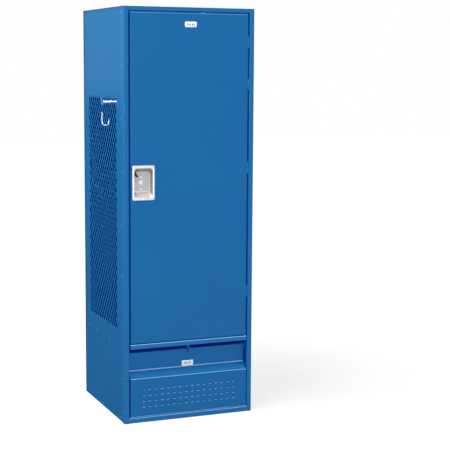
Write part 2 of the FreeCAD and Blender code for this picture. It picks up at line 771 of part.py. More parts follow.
def door_pan():
    pan = doc.addObject("PartDesign::Body", "door_pan")
    edge = DOOR_EDGE
    wall = "Sizes.door_sheet"
    add_pad(pan, "XZ", FRONT, "Sizes.door_thickness", [rectangle(f"-{edge}", edge, DOOR_BOTTOM, DOOR_TOP)])
    soften(pan, "YZ", [(FRONT, DOOR_BOTTOM), (FRONT, DOOR_TOP)], "Sizes.bend")
    soften(pan, "XY", [(f"-{edge}", FRONT), (edge, FRONT)], "Sizes.hinge_inset")
    inner = f"({edge} - {wall})"
    hollow = rectangle(f"-{inner}", inner, f"{DOOR_BOTTOM} + {wall}", f"{DOOR_TOP} - {wall}")
    cut_pocket(pan, "XZ", SKIN_BACK, f"Sizes.door_thickness - 2*{wall}", [hollow])
    mouth = f"({edge} - Sizes.door_return)"
    back = rectangle(
        f"-{mouth}",
        mouth,
        f"{DOOR_BOTTOM} + Sizes.door_return",
        f"{DOOR_TOP} - Sizes.door_return",
    )
    cut_pocket(pan, "XZ", f"{DOOR_BACK} - {wall}", wall, [back])
    gap = "(Sizes.cup_sheet + Sizes.cup_hole_gap)"
    half_width = f"({CUP_MOUTH_WIDTH}/2 + {gap})"
    half_height = f"({CUP_MOUTH_HEIGHT}/2 + {gap})"
    hole = rectangle(
        f"{CUP_X} - {half_width}",
        f"{CUP_X} + {half_width}",
        f"Sizes.cup_level - {half_height}",
        f"Sizes.cup_level + {half_height}",
    )
    cut_pocket(pan, "XZ", FRONT, wall, [hole])
    slots = []
    for level in KEEPER_LEVELS:
        reach = "(Sizes.keeper_height/2 + 2*Sizes.keeper_play)"
        side = "Sizes.keeper_window/2"
        slots.append(
            rectangle(f"{KEEPER_X} - {side}", f"{KEEPER_X} + {side}", f"{level} - {reach}", f"{level} + {reach}")
        )
    cut_pocket(pan, "XZ", f"{DOOR_BACK} - {wall}", wall, slots)
    keep(pan, "door_pan")


def door_stiffener():
    """Hat channel down the middle of the door's inside."""
    half = "(Sizes.stiffener_width/2)"
    crown = f"({half} - Sizes.stiffener_foot)"
    depth = f"({SKIN_BACK} + Sizes.stiffener_depth)"
    section = [
        (f"-{half}", SKIN_BACK),
        (f"-{crown}", SKIN_BACK),
        (f"-{crown}", f"{depth} - {SHEET}"),
        (crown, f"{depth} - {SHEET}"),
        (crown, SKIN_BACK),
        (half, SKIN_BACK),
        (half, f"{SKIN_BACK} + {SHEET}"),
        (f"{crown} + {SHEET}", f"{SKIN_BACK} + {SHEET}"),
        (f"{crown} + {SHEET}", depth),
        (f"-{crown} - {SHEET}", depth),
        (f"-{crown} - {SHEET}", f"{SKIN_BACK} + {SHEET}"),
        (f"-{half}", f"{SKIN_BACK} + {SHEET}"),
    ]
    low = f"{DOOR_BOTTOM} + Sizes.stiffener_margin"
    tall = f"{DOOR_TOP} - {DOOR_BOTTOM} - 2*Sizes.stiffener_margin"
    folded("door_stiffener", "XY", low, tall, section, (8, 9), (2, 3))


def rounded_ring(y, half_width, low, high, corner):
    """Rectangle with faceted round corners about the cup's middle line, at the given depth."""
    middle = size(CUP_X)
    marks = []
    for turn, (across, up) in enumerate(((1, 1), (-1, 1), (-1, -1), (1, -1))):
        centre_x = middle + across * (half_width - corner)
        centre_z = high - corner if up > 0 else low + corner
        for step in range(CORNER_STEPS + 1):
            bearing = math.pi / 2 * (turn + step / CORNER_STEPS)
            marks.append(
                FreeCAD.Vector(centre_x + corner * math.cos(bearing), y, centre_z + corner * math.sin(bearing))
            )
    return Part.makePolygon(marks + marks[:1])


def latch_cup():
    """Drawn cup: a flat flange on the door's face and a pocket with rounded corners and a sloping foot."""
    front = size(f"{FRONT} - Sizes.cup_sheet")
    face = size(FRONT)
    base = face + size("Sizes.cup_depth")
    gauge = size("Sizes.cup_sheet")
    level = size("Sizes.cup_level")
    half_width = size(CUP_MOUTH_WIDTH) / 2
    half_height = size(CUP_MOUTH_HEIGHT) / 2
    taper = size("Sizes.cup_taper")
    slope = size("Sizes.cup_slope")
    corner = size("Sizes.cup_corner")
    reach = size("Sizes.cup_height") / 2
    flange_ring = rounded_ring(
        front, size("Sizes.cup_width") / 2, level - reach, level + reach, size("Sizes.cup_flange_corner")
    )
    flange = Part.Face(flange_ring).extrude(FreeCAD.Vector(0, gauge, 0))

    def drawn(start, end, grow):
        half = half_width + grow
        low = level - half_height - grow
        high = level + half_height + grow
        wide = rounded_ring(start, half, low, high, corner + grow)
        narrow = rounded_ring(end, half - taper, low + slope, high - taper, corner + grow)
        return Part.makeLoft([wide, narrow], True, True)

    outside = drawn(face, base + gauge, gauge)
    inside = drawn(front, base, 0)
    cup = flange.fuse(outside).removeSplitter().cut(inside)
    slot_low = size(f"{TRIGGER_BOTTOM} - Sizes.bar_travel - Sizes.trigger_play")
    slot_high = size(f"{TRIGGER_BOTTOM} + Sizes.trigger_height + Sizes.trigger_play")
    slot_front = size(f"{BAR_FRONT} - 2*Sizes.bar_clearance")
    slot_back = size(f"{BAR_BACK} + 2*Sizes.bar_clearance")
    slot_left = size(f"{CUP_X} - {CUP_MOUTH_WIDTH}/2") - 2 * gauge
    slot = Part.makeBox(
        2 * gauge + 2 * taper,
        slot_back - slot_front,
        slot_high - slot_low,
        FreeCAD.Vector(slot_left, slot_front, slot_low),
    )
    piece = doc.addObject("Part::Feature", "latch_cup")
    piece.Shape = cup.cut(slot)
    keep(piece, "latch_cup")


def cup_fittings():
    """Lock-hole plug between two rivets on the cup's floor, and the screw in its flange."""
    x = f"({CUP_X} - Sizes.plug_shift)"
    floor = f"({FRONT} + Sizes.cup_depth)"
    plug_front = f"{floor} - Sizes.plug_height"
    plug = round_bar("plug", "y", x, plug_front, "Sizes.cup_level", "Sizes.plug_radius", "Sizes.plug_height")
    fittings = [plug]
    rivet_front = f"{floor} - Sizes.rivet_height"
    radius = "Sizes.rivet_radius"
    for sign in ("+", "-"):
        level = f"Sizes.cup_level {sign} Sizes.rivet_offset"
        fittings.append(barrel("rivet", "y", x, rivet_front, level, radius, "Sizes.rivet_height", BARREL_SIDES))
    screw_front = f"{FRONT} - Sizes.cup_sheet - Sizes.screw_height"
    screw_level = "Sizes.cup_level - Sizes.cup_height/2 + Sizes.cup_rim_end/2"
    fittings.append(
        barrel("screw", "y", CUP_X, screw_front, screw_level, radius, "Sizes.screw_height", BARREL_SIDES)
    )
    group("cup_fittings", fittings)


def number_plates():
    for label, face, level in (
        ("number_plate", FRONT, f"({DOOR_TOP} - Sizes.plate_drop)"),
        ("flap_number_plate", RECESS, f"({LEDGE_TOP} + Sizes.plate_height/2 + {SHEET})"),
    ):
        left = "(Sizes.plate_shift - Sizes.plate_width/2)"
        right = "(Sizes.plate_shift + Sizes.plate_width/2)"
        tall = "(Sizes.plate_height/2)"
        body = doc.addObject("PartDesign::Body", label)
        corners = rectangle(left, right, f"{level} - {tall}", f"{level} + {tall}")
        add_pad(body, "XZ", f"{face} - Sizes.plate_thickness", "Sizes.plate_thickness", [corners])
        soften(body, "XZ", corners, "Sizes.plate_corner")
        keep(body, label)


def bar_guides():
    """Clips on the door skin that hold the lock bar against the door's edge."""
    leg = f"({BAR_RIGHT} + Sizes.bar_clearance)"
    over = f"({BAR_BACK} + Sizes.bar_clearance)"
    section = [
        (f"{leg} + Sizes.bar_width", SKIN_BACK),
        (leg, SKIN_BACK),
        (leg, over),
        (BAR_LEFT, over),
        (BAR_LEFT, f"{over} + {SHEET}"),
        (f"{leg} + {SHEET}", f"{over} + {SHEET}"),
        (f"{leg} + {SHEET}", f"{SKIN_BACK} + {SHEET}"),
        (f"{leg} + Sizes.bar_width", f"{SKIN_BACK} + {SHEET}"),
    ]
    clips = []
    for level in GUIDE_LEVELS:
        clip = doc.addObject("PartDesign::Body", "bar_guide")
        add_pad(clip, "XY", f"{level} - Sizes.guide_length/2", "Sizes.guide_length", [section])
        clips.append(clip)
    group("bar_guides", clips)


# Lock bar, shown lifted

def lock_bar():
    low = f"({DOOR_BOTTOM} + Sizes.door_sheet + Sizes.bar_end_gap + Sizes.bar_travel)"
    high = f"({DOOR_TOP} - Sizes.door_sheet - Sizes.bar_end_gap)"
    bar = doc.addObject("PartDesign::Body", "lock_bar")
    add_pad(bar, "XZ", BAR_FRONT, "Sizes.bar_thickness", [rectangle(BAR_LEFT, BAR_RIGHT, low, high)])
    windows = []
    for level in KEEPER_LEVELS:
        side = "Sizes.keeper_window/2"
        bottom = f"{level} - Sizes.keeper_height/2 - Sizes.keeper_play"
        top = f"{level} + Sizes.keeper_height/2 + Sizes.keeper_play"
        windows.append(rectangle(f"{KEEPER_X} - {side}", f"{KEEPER_X} + {side}", bottom, top))
    cut_pocket(bar, "XZ", BAR_FRONT, "Sizes.bar_thickness", windows)
    keep(bar, "lock_bar")
    trigger = doc.addObject("PartDesign::Body", "latch_trigger")
    corners = rectangle(
        BAR_RIGHT,
        f"{BAR_RIGHT} + Sizes.trigger_reach",
        TRIGGER_BOTTOM,
        f"{TRIGGER_BOTTOM} + Sizes.trigger_height",
    )
    add_pad(trigger, "XZ", BAR_FRONT, "Sizes.bar_thickness", [corners])
    soften(trigger, "XZ", corners[1:3], "Sizes.trigger_height/3")
    keep(trigger, "latch_trigger")


# Foot-locker front

def flap_front():
    half_turn = "22.5 deg"
    mitre = f"{SHEET}*tan({half_turn})"
    bend = "Sizes.flap_bend_height"
    section = [
        (FRONT, FLAP_BOTTOM),
        (FRONT, bend),
        (RECESS, LEDGE_TOP),
        (RECESS, FLAP_TOP),
        (f"{RECESS} + Sizes.flap_top_flange", FLAP_TOP),
        (f"{RECESS} + Sizes.flap_top_flange", f"{FLAP_TOP} - {SHEET}"),
        (f"{RECESS} + {SHEET}", f"{FLAP_TOP} - {SHEET}"),
        (f"{RECESS} + {SHEET}", f"{LEDGE_TOP} - {mitre}"),
        (f"{FRONT} + {SHEET}", f"{bend} - {mitre}"),
        (f"{FRONT} + {SHEET}", FLAP_BOTTOM),
    ]
    flap = folded("flap_front", "YZ", f"-{FLAP_EDGE}", f"2*{FLAP_EDGE}", section, (1, 3, 7), (2, 6, 8))
    half = "Sizes.vent_width/2"
    tall = "Sizes.vent_height/2"
    left = "(-(Sizes.vent_columns - 1)/2*Sizes.vent_pitch_across)"
    low = "Sizes.vent_bottom"
    vent = rectangle(f"{left} - {half}", f"{left} + {half}", f"{low} - {tall}", f"{low} + {tall}")
    pocket = cut_pocket(flap, "XZ", FRONT, SHEET, [vent])
    grid = flap.newObject("PartDesign::MultiTransform", "vent_grid")
    steps = []
    for name, axis, pitch, count in (
        ("vent_columns", "H_Axis", "Sizes.vent_pitch_across", "Sizes.vent_columns"),
        ("vent_rows", "V_Axis", "Sizes.vent_pitch_up", "Sizes.vent_rows"),
    ):
        step = flap.newObject("PartDesign::LinearPattern", name)
        step.Direction = (pocket.Profile[0], [axis])
        step.setExpression("Length", f"{pitch}*({count} - 1)")
        step.setExpression("Occurrences", count)
        steps.append(step)
    grid.Originals = [pocket]
    grid.Transformations = steps
    flap.Tip = grid
    doc.recompute()


def piano_hinge():
    """Continuous hinge along the bottom rail: odd knuckles on the rail's leaf, even ones on the flap's."""
    count = int(size("Sizes.piano_knuckles"))
    span = f"(2*{FLAP_EDGE})"
    knuckle = f"(({span} - {count - 1}*Sizes.knuckle_gap)/{count})"
    step = f"({knuckle} + Sizes.knuckle_gap)"
    clear = "(Sizes.piano_radius + Sizes.swing_clearance)"
    bore_radius = f"(Sizes.piano_pin_radius + Sizes.pin_clearance)/{BORE_FLAT}"
    bore = barrel("piano_bore", "x", f"-{FLAP_EDGE}", PIANO_Y, PIANO_Z, bore_radius, span, BORE_SIDES)
    rail_leaf = [
        block(
            "rail_leaf",
            f"-{FLAP_EDGE}",
            f"{PIANO_Y} + {clear}",
            "Sizes.bottom_rail_face",
            span,
            f"Sizes.piano_leaf_width - {clear}",
            "Sizes.piano_leaf",
        )
    ]
    leaf_front = f"{FRONT} + {SHEET}"
    flap_leaf = [
        block(
            "flap_leaf",
            f"-{FLAP_EDGE}",
            leaf_front,
            f"{PIANO_Z} + {clear}",
            span,
            "Sizes.piano_leaf",
            f"Sizes.piano_leaf_width - {clear}",
        )
    ]
    for place in range(count):
        x = f"-{FLAP_EDGE} + {place}*{step}"
        radius = "Sizes.piano_radius"
        roll = barrel("piano_knuckle", "x", x, PIANO_Y, PIANO_Z, radius, knuckle, BARREL_SIDES)
        if place % 2 == 0:
            web = block("knuckle_web", x, PIANO_Y, "Sizes.bottom_rail_face", knuckle, clear, "Sizes.piano_leaf")
            rail_leaf += [roll, web]
        else:
            web = block("knuckle_web", x, leaf_front, PIANO_Z, knuckle, "Sizes.piano_leaf", clear)
            flap_leaf += [roll, web]
    keep(cut("flap_hinge_rail_leaf", fuse("rail_leaf_body", rail_leaf), [bore]), "flap_hinge_rail_leaf")
    keep(cut("flap_hinge_leaf", fuse("flap_leaf_body", flap_leaf), [bore]), "flap_hinge_leaf")
    pin = round_bar("flap_hinge_pin", "x", f"-{FLAP_EDGE}", PIANO_Y, PIANO_Z, "Sizes.piano_pin_radius", span)
    keep(pin, "flap_hinge_pin")


def padlock_tabs():
    """Two plates side by side whose holes line up for a padlock shackle."""
    margin = "(Sizes.tab_hole_radius + Sizes.tab_margin)"
    fixed = doc.addObject("PartDesign::Body", "padlock_tab")
    plate = rectangle(
        f"{TAB_HOLE_Y} - {margin}", f"{TAB_HOLE_Y} + {margin}", f"{TAB_HOLE_Z} - {margin}", SEAT_UNDER
    )
    add_pad(fixed, "YZ", "-Sizes.tab_thickness", "Sizes.tab_thickness", [plate])
    soften(fixed, "YZ", plate[:2], f"{margin}/2")
    hole = [(TAB_HOLE_Y, TAB_HOLE_Z, "Sizes.tab_hole_radius")]
    cut_pocket(fixed, "YZ", "-Sizes.tab_thickness", "Sizes.tab_thickness", circles=hole)
    keep(fixed, "padlock_tab")
    moving = doc.addObject("PartDesign::Body", "flap_padlock_tab")
    ear = [
        (RECESS, f"{FLAP_TOP} - Sizes.tab_root"),
        (RECESS, f"{TAB_HOLE_Z} + {margin}"),
        (f"{TAB_HOLE_Y} - {margin}", f"{TAB_HOLE_Z} + {margin}"),
        (f"{TAB_HOLE_Y} - {margin}", f"{TAB_HOLE_Z} - {margin}"),
    ]
    add_pad(moving, "YZ", "Sizes.tab_gap", "Sizes.tab_thickness", [ear])
    soften(moving, "YZ", ear[1:3], f"{margin}/2")
    cut_pocket(moving, "YZ", "Sizes.tab_gap", "Sizes.tab_thickness", circles=hole)
    keep(moving, "flap_padlock_tab")


def flap_stops():
    """Angles on the side walls that the foot-locker front closes against."""
    face = f"({RECESS} + Sizes.flap_top_flange + Sizes.flap_stop_gap)"
    reach = f"({WALL} - Sizes.flap_stop_reach)"
    section = [
        (reach, face),
        (WALL, face),
        (WALL, f"{face} + Sizes.flap_stop_height"),
        (f"{WALL} - {SHEET}", f"{face} + Sizes.flap_stop_height"),
        (f"{WALL} - {SHEET}", f"{face} + {SHEET}"),
        (reach, f"{face} + {SHEET}"),
    ]
    angles = []
    for side in (-1, 1):
        angle = doc.addObject("PartDesign::Body", "flap_stop")
        low = f"{FLAP_TOP} - Sizes.flap_stop_height"
        add_pad(angle, "XY", low, "Sizes.flap_stop_height", [mirrored(section, side)])
        angles.append(angle)
    group("flap_stops", angles)


uprights()
front_rails()
door_stops()
side_panels()
back_panel()
top_and_bottom()
seat_shelf()
hat_shelf()
coat_rod()
coat_hooks()
keepers()
bumpers()
door_hinges()
door_pan()
door_stiffener()
latch_cup()
cup_fittings()
number_plates()
bar_guides()
lock_bar()
flap_front()
piano_hinge()
padlock_tabs()
flap_stops()
doc.recompute()

for item in doc.Objects:
    if "Invalid" in item.State or "Error" in item.State:
        raise ValueError(f"{item.Label} failed: {item.State}")
for node in nodes:
    if node.Shape.isNull() or not node.Shape.isValid():
        raise ValueError(f"{node.Label} has no valid shape")
os.makedirs("parts", exist_ok=True)
for node in nodes:
    node.Shape.exportStep(os.path.join("parts", f"{node.Label}.step"))
print(len(nodes), "sub-parts written")
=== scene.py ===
import json
import math

import bmesh
import bpy
from mathutils import Matrix, Vector


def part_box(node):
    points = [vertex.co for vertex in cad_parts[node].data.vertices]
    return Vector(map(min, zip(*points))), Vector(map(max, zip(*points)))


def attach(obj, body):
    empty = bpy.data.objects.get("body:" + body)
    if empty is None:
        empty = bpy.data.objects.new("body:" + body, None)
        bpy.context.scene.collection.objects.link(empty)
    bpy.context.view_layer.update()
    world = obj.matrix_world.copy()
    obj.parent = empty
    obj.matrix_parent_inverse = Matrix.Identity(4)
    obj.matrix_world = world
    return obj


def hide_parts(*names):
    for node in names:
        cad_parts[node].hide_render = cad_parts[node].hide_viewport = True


# Gear locker: finishes, perforated side sheets, drawn latch cup and small fittings on the CAD frame.
# Metres, in the frame of the CAD model: the front faces -Y and +Z is up.

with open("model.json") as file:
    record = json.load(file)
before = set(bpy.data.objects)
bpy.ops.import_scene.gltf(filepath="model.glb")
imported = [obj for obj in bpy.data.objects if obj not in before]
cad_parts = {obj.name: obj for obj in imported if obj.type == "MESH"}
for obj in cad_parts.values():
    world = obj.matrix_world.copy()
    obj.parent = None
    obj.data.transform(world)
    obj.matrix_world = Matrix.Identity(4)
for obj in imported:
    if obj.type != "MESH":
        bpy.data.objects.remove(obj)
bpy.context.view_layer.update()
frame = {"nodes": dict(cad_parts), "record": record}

MM = 0.001
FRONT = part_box("door_pan")[0].y
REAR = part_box("back_panel")[1].y
SHEET_STEEL = 1.5 * MM
DOME_RIM = 0.25
DOME_TIP = 0.08
STRIP_END = 0.8
CORNER_STEPS = 8
QUARTER_TURN = [math.radians(angle) for angle in (0, 30, 60, 90)]


# Mesh helpers

def new_object(name, data):
    """Puts a mesh, text, lamp or camera into the scene."""
    thing = bpy.data.objects.new(name, data)
    bpy.context.collection.objects.link(thing)
    return thing


def add_piece(name, mesh, body, material, smooth_angle=None):
    """Links a finished mesh as a piece that rides on a CAD body."""
    thing = new_object(name, mesh)
    mesh.materials.append(material)
    if smooth_angle is not None:
        mesh.shade_smooth()
        mesh.set_sharp_from_angle(angle=smooth_angle)
    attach(thing, body)
    return thing


def mesh_from(name, shape):
    """Turns a bmesh into a mesh with its faces turned outwards."""
    bmesh.ops.remove_doubles(shape, verts=shape.verts, dist=1e-7)
    bmesh.ops.recalc_face_normals(shape, faces=shape.faces)
    mesh = bpy.data.meshes.new(name)
    shape.to_mesh(mesh)
    shape.free()
    return mesh


def add_loops(shape, loops, close_start=True, close_end=True):
    """Skins a row of closed loops with the same number of points."""
    rings = [[shape.verts.new(spot) for spot in loop] for loop in loops]
    for near, far in zip(rings, rings[1:]):
        count = len(near)
        for i in range(count):
            j = (i + 1) % count
            shape.faces.new((near[i], near[j], far[j], far[i]))
    if close_start:
        shape.faces.new(rings[0])
    if close_end:
        shape.faces.new(rings[-1])


def add_dome(shape, centre, outward, radius, height, sides=16, steps=4):
    """Low button head standing on a flat face, with a short straight rim."""
    outward = Vector(outward)
    turn = outward.to_track_quat("Z", "Y").to_matrix()
    rim = DOME_RIM * height
    profile = [(radius, 0.0)]
    for step in range(steps + 1):
        angle = math.pi / 2 * step / steps
        reach = radius * math.cos(angle) if step < steps else DOME_TIP * radius
        profile.append((reach, rim + (height - rim) * math.sin(angle)))
    rings = []
    for reach, lift in profile:
        ring = []
        for side in range(sides):
            bearing = 2 * math.pi * side / sides
            spot = Vector((reach * math.cos(bearing), reach * math.sin(bearing), lift))
            ring.append(Vector(centre) + turn @ spot)
        rings.append(ring)
    add_loops(shape, rings)


def add_tube(shape, path, radii, sides=14):
    """Round wire along a path, with its own radius at each point."""
    across = None
    rings = []
    for i, spot in enumerate(path):
        ahead = (path[min(i + 1, len(path) - 1)] - path[max(i - 1, 0)]).normalized()
        across = ahead.orthogonal() if across is None else across - ahead * across.dot(ahead)
        across.normalize()
        up = ahead.cross(across)
        ring = []
        for side in range(sides):
            bearing = 2 * math.pi * side / sides
            ring.append(spot + radii[i] * (across * math.cos(bearing) + up * math.sin(bearing)))
        rings.append(ring)
    add_loops(shape, rings)


def add_strip(shape, section, start, end, edge):
    """Straight strip along X with the given (y, z) section and softened ends."""
    middle = Vector((0, sum(y for y, z in section), sum(z for y, z in section))) / len(section)
    rings = []
    for x, share in ((start, STRIP_END), (start + edge, 1.0), (end - edge, 1.0), (end, STRIP_END)):
        centre = Vector((x, 0, 0)) + middle
        rings.append([centre + share * (Vector((0, y, z)) - middle) for y, z in section])
    add_loops(shape, rings)


def add_plate(shape, corners, y_front, y_back, edge):
    """Flat plate across the front with softened edges, from its (x, z) outline."""
    middle = Vector((sum(x for x, z in corners), 0, sum(z for x, z in corners))) / len(corners)
    rings = []
    for y, inset in ((y_front, edge), (y_front + edge, 0.0), (y_back - edge, 0.0), (y_back, edge)):
        ring = []
        for x, z in corners:
            out = Vector((x, 0, z)) - middle
            ring.append(Vector((0, y, 0)) + middle + out * (1 - inset / out.length))
        rings.append(ring)
    add_loops(shape, rings)


def rounded_loop(y, middle, half_width, low, high, corner, marks=()):
    """Rounded rectangle across the front at one depth, with extra points at levels of its left side."""
    spots = []
    for turn, (across, up) in enumerate(((1, 1), (-1, 1), (-1, -1), (1, -1))):
        centre_x = middle + across * (half_width - corner)
        centre_z = high - corner if up > 0 else low + corner
        for step in range(CORNER_STEPS + 1):
            bearing = math.pi / 2 * (turn + step / CORNER_STEPS)
            out = corner * math.cos(bearing)
            lift = corner * math.sin(bearing)
            spots.append(Vector((centre_x + out, y, centre_z + lift)))
        if turn == 1:
            spots += [Vector((middle - half_width, y, level)) for level in marks]
    return spots


# Shader groups shared by several finishes

LEDGE_TILT = math.sqrt(0.5)
HOLLOW_REACH = 42 * MM
GAP_REACH = 25 * MM
HOLLOW_SHADE_METAL = (0.07, 0.07, 0.072, 1)
DUST_COLOUR = (0.42, 0.45, 0.48, 1)
DUST_DULLING = 0.6
DRIFT_SCALE = 3.0
FINE_SCALE = 60.0
DUST_SCALE = 180.0
PEEL_SCALE = 420.0
MARK_SCALE = 45.0
MARK_DULLING = 0.8
LINE_STRETCH = (2600.0, 2600.0, 60.0)
# A level above every bend
ALL_BENDS = 10.0


def shader_group(name, inputs, outputs):
    """Empty node group with its named sockets."""
    tree = bpy.data.node_groups.new(name, "ShaderNodeTree")
    for label, kind, value in inputs:
        socket = tree.interface.new_socket(label, in_out="INPUT", socket_type=kind)
        socket.default_value = value
    for label, kind in outputs:
        tree.interface.new_socket(label, in_out="OUTPUT", socket_type=kind)
    return tree, tree.nodes.new("NodeGroupInput"), tree.nodes.new("NodeGroupOutput")


def noise(tree, coordinates, scale, detail=2.0, stretch=None):
    """Noise over the object's own coordinates, stretched along an axis when asked."""
    node = tree.nodes.new("ShaderNodeTexNoise")
    node.inputs["Scale"].default_value = scale
    node.inputs["Detail"].default_value = detail
    if stretch:
        mapping = tree.nodes.new("ShaderNodeMapping")
        mapping.inputs["Scale"].default_value = stretch
        tree.links.new(coordinates, mapping.inputs["Vector"])
        coordinates = mapping.outputs["Vector"]
    tree.links.new(coordinates, node.inputs["Vector"])
    return node.outputs["Fac"]


def split(tree, vector):
    """The X, Y and Z of a vector."""
    node = tree.nodes.new("ShaderNodeSeparateXYZ")
    tree.links.new(vector, node.inputs["Vector"])
    return node.outputs


def remap(tree, value, low, high, to_low, to_high):
    """Value moved from one range to another and kept inside it."""
    node = tree.nodes.new("ShaderNodeMapRange")
    node.inputs["From Min"].default_value = low
    node.inputs["From Max"].default_value = high
    node.inputs["To Min"].default_value = to_low
    node.inputs["To Max"].default_value = to_high
    tree.links.new(value, node.inputs["Value"])
    return node.outputs["Result"]


def math_node(tree, operation, first, second):
    """Sum, product or other result of two values, each a number or a socket."""
    node = tree.nodes.new("ShaderNodeMath")
    node.operation = operation
    for socket, value in zip(node.inputs, (first, second)):
        if isinstance(value, (int, float)):
            socket.default_value = value
        else:
            tree.links.new(value, socket)
    return node.outputs["Value"]


def mix_colour(tree, factor, first, second):
    """Blend of two colours, each a constant or a socket."""
    node = tree.nodes.new("ShaderNodeMix")
    node.data_type = "RGBA"
    for name, value in (("Factor_Float", factor), ("A_Color", first), ("B_Color", second)):
        socket = next(item for item in node.inputs if item.identifier == name)
        if isinstance(value, (int, float, tuple)):
            socket.default_value = value
        else:
            tree.links.new(value, socket)
    return next(item for item in node.outputs if item.identifier == "Result_Color")


def bend_highlight_mask(tree, tilt):
    """Mask of the painted highlight on bends that turn upwards: not upright, level or ledge faces, and
    fading in gaps where shade falls.
    """
    leaning = remap(tree, tilt, 0.03, 0.12, 0.0, 1.0)
    not_level = remap(tree, tilt, 0.9, 0.98, 1.0, 0.0)
    bend = math_node(tree, "MULTIPLY", leaning, not_level)
    slope = math_node(tree, "ABSOLUTE", math_node(tree, "SUBTRACT", tilt, LEDGE_TILT), 0.0)
    bend = math_node(tree, "MULTIPLY", bend, remap(tree, slope, 0.004, 0.03, 0.0, 1.0))
    shelter = tree.nodes.new("ShaderNodeAmbientOcclusion")
    shelter.inputs["Distance"].default_value = GAP_REACH
    in_the_open = remap(tree, shelter.outputs["AO"], 0.25, 0.65, 0.15, 1.0)
    return math_node(tree, "MULTIPLY", bend, in_the_open)


def paint_film_group():
    """Sprayed enamel: tone drift, a painted highlight on bends that turn upwards, dust and orange peel."""
    tree, given, result = shader_group(
        "paint_film",
        [
            ("Colour", "NodeSocketColor", (0.5, 0.5, 0.5, 1)),
            ("Drift", "NodeSocketFloat", 0.05),
            ("Dust", "NodeSocketFloat", 0.1),
            ("Bend Colour", "NodeSocketColor", (0.5, 0.5, 0.5, 1)),
            ("Bend", "NodeSocketFloat", 0.0),
            ("Bend Limit", "NodeSocketFloat", ALL_BENDS),
            ("Roughness", "NodeSocketFloat", 0.4),
        ],
        [("Colour", "NodeSocketColor"), ("Roughness", "NodeSocketFloat"), ("Height", "NodeSocketFloat")],
    )
    place = tree.nodes.new("ShaderNodeTexCoord").outputs["Object"]
    fine = noise(tree, place, FINE_SCALE, 2.0)
    broad_drift = remap(tree, noise(tree, place, DRIFT_SCALE, 3.0), 0.3, 0.7, -1, 1)
    fine_drift = remap(tree, fine, 0.3, 0.7, -0.4, 0.4)
    drift = math_node(tree, "ADD", broad_drift, fine_drift)
    gain = math_node(tree, "ADD", 1.0, math_node(tree, "MULTIPLY", drift, given.outputs["Drift"]))
    shade = tree.nodes.new("ShaderNodeHueSaturation")
    tree.links.new(given.outputs["Colour"], shade.inputs["Color"])
    tree.links.new(gain, shade.inputs["Value"])
    tilt = split(tree, tree.nodes.new("ShaderNodeNewGeometry").outputs["Normal"])["Z"]
    below = math_node(tree, "LESS_THAN", split(tree, place)["Z"], given.outputs["Bend Limit"])
    # Upward bends below the limit are painted lighter: a painted highlight
    bends = math_node(tree, "MULTIPLY", bend_highlight_mask(tree, tilt), below)
    bend_highlight = math_node(tree, "MULTIPLY", bends, given.outputs["Bend"])
    highlighted = mix_colour(tree, bend_highlight, shade.outputs["Color"], given.outputs["Bend Colour"])
    level = remap(tree, tilt, 0.7, 1.0, 0.0, 1.0)
    speck = remap(tree, noise(tree, place, DUST_SCALE, 4.0), 0.35, 0.75, 0.2, 1.0)
    veil = math_node(tree, "MULTIPLY", math_node(tree, "MULTIPLY", level, speck), given.outputs["Dust"])
    tree.links.new(mix_colour(tree, veil, highlighted, DUST_COLOUR), result.inputs["Colour"])
    sheen = math_node(tree, "ADD", given.outputs["Roughness"], remap(tree, fine, 0.3, 0.7, -0.03, 0.03))
    rough = math_node(tree, "ADD", sheen, math_node(tree, "MULTIPLY", veil, DUST_DULLING))
    tree.links.new(rough, result.inputs["Roughness"])
    tree.links.new(noise(tree, place, PEEL_SCALE, 1.0), result.inputs["Height"])
    return tree


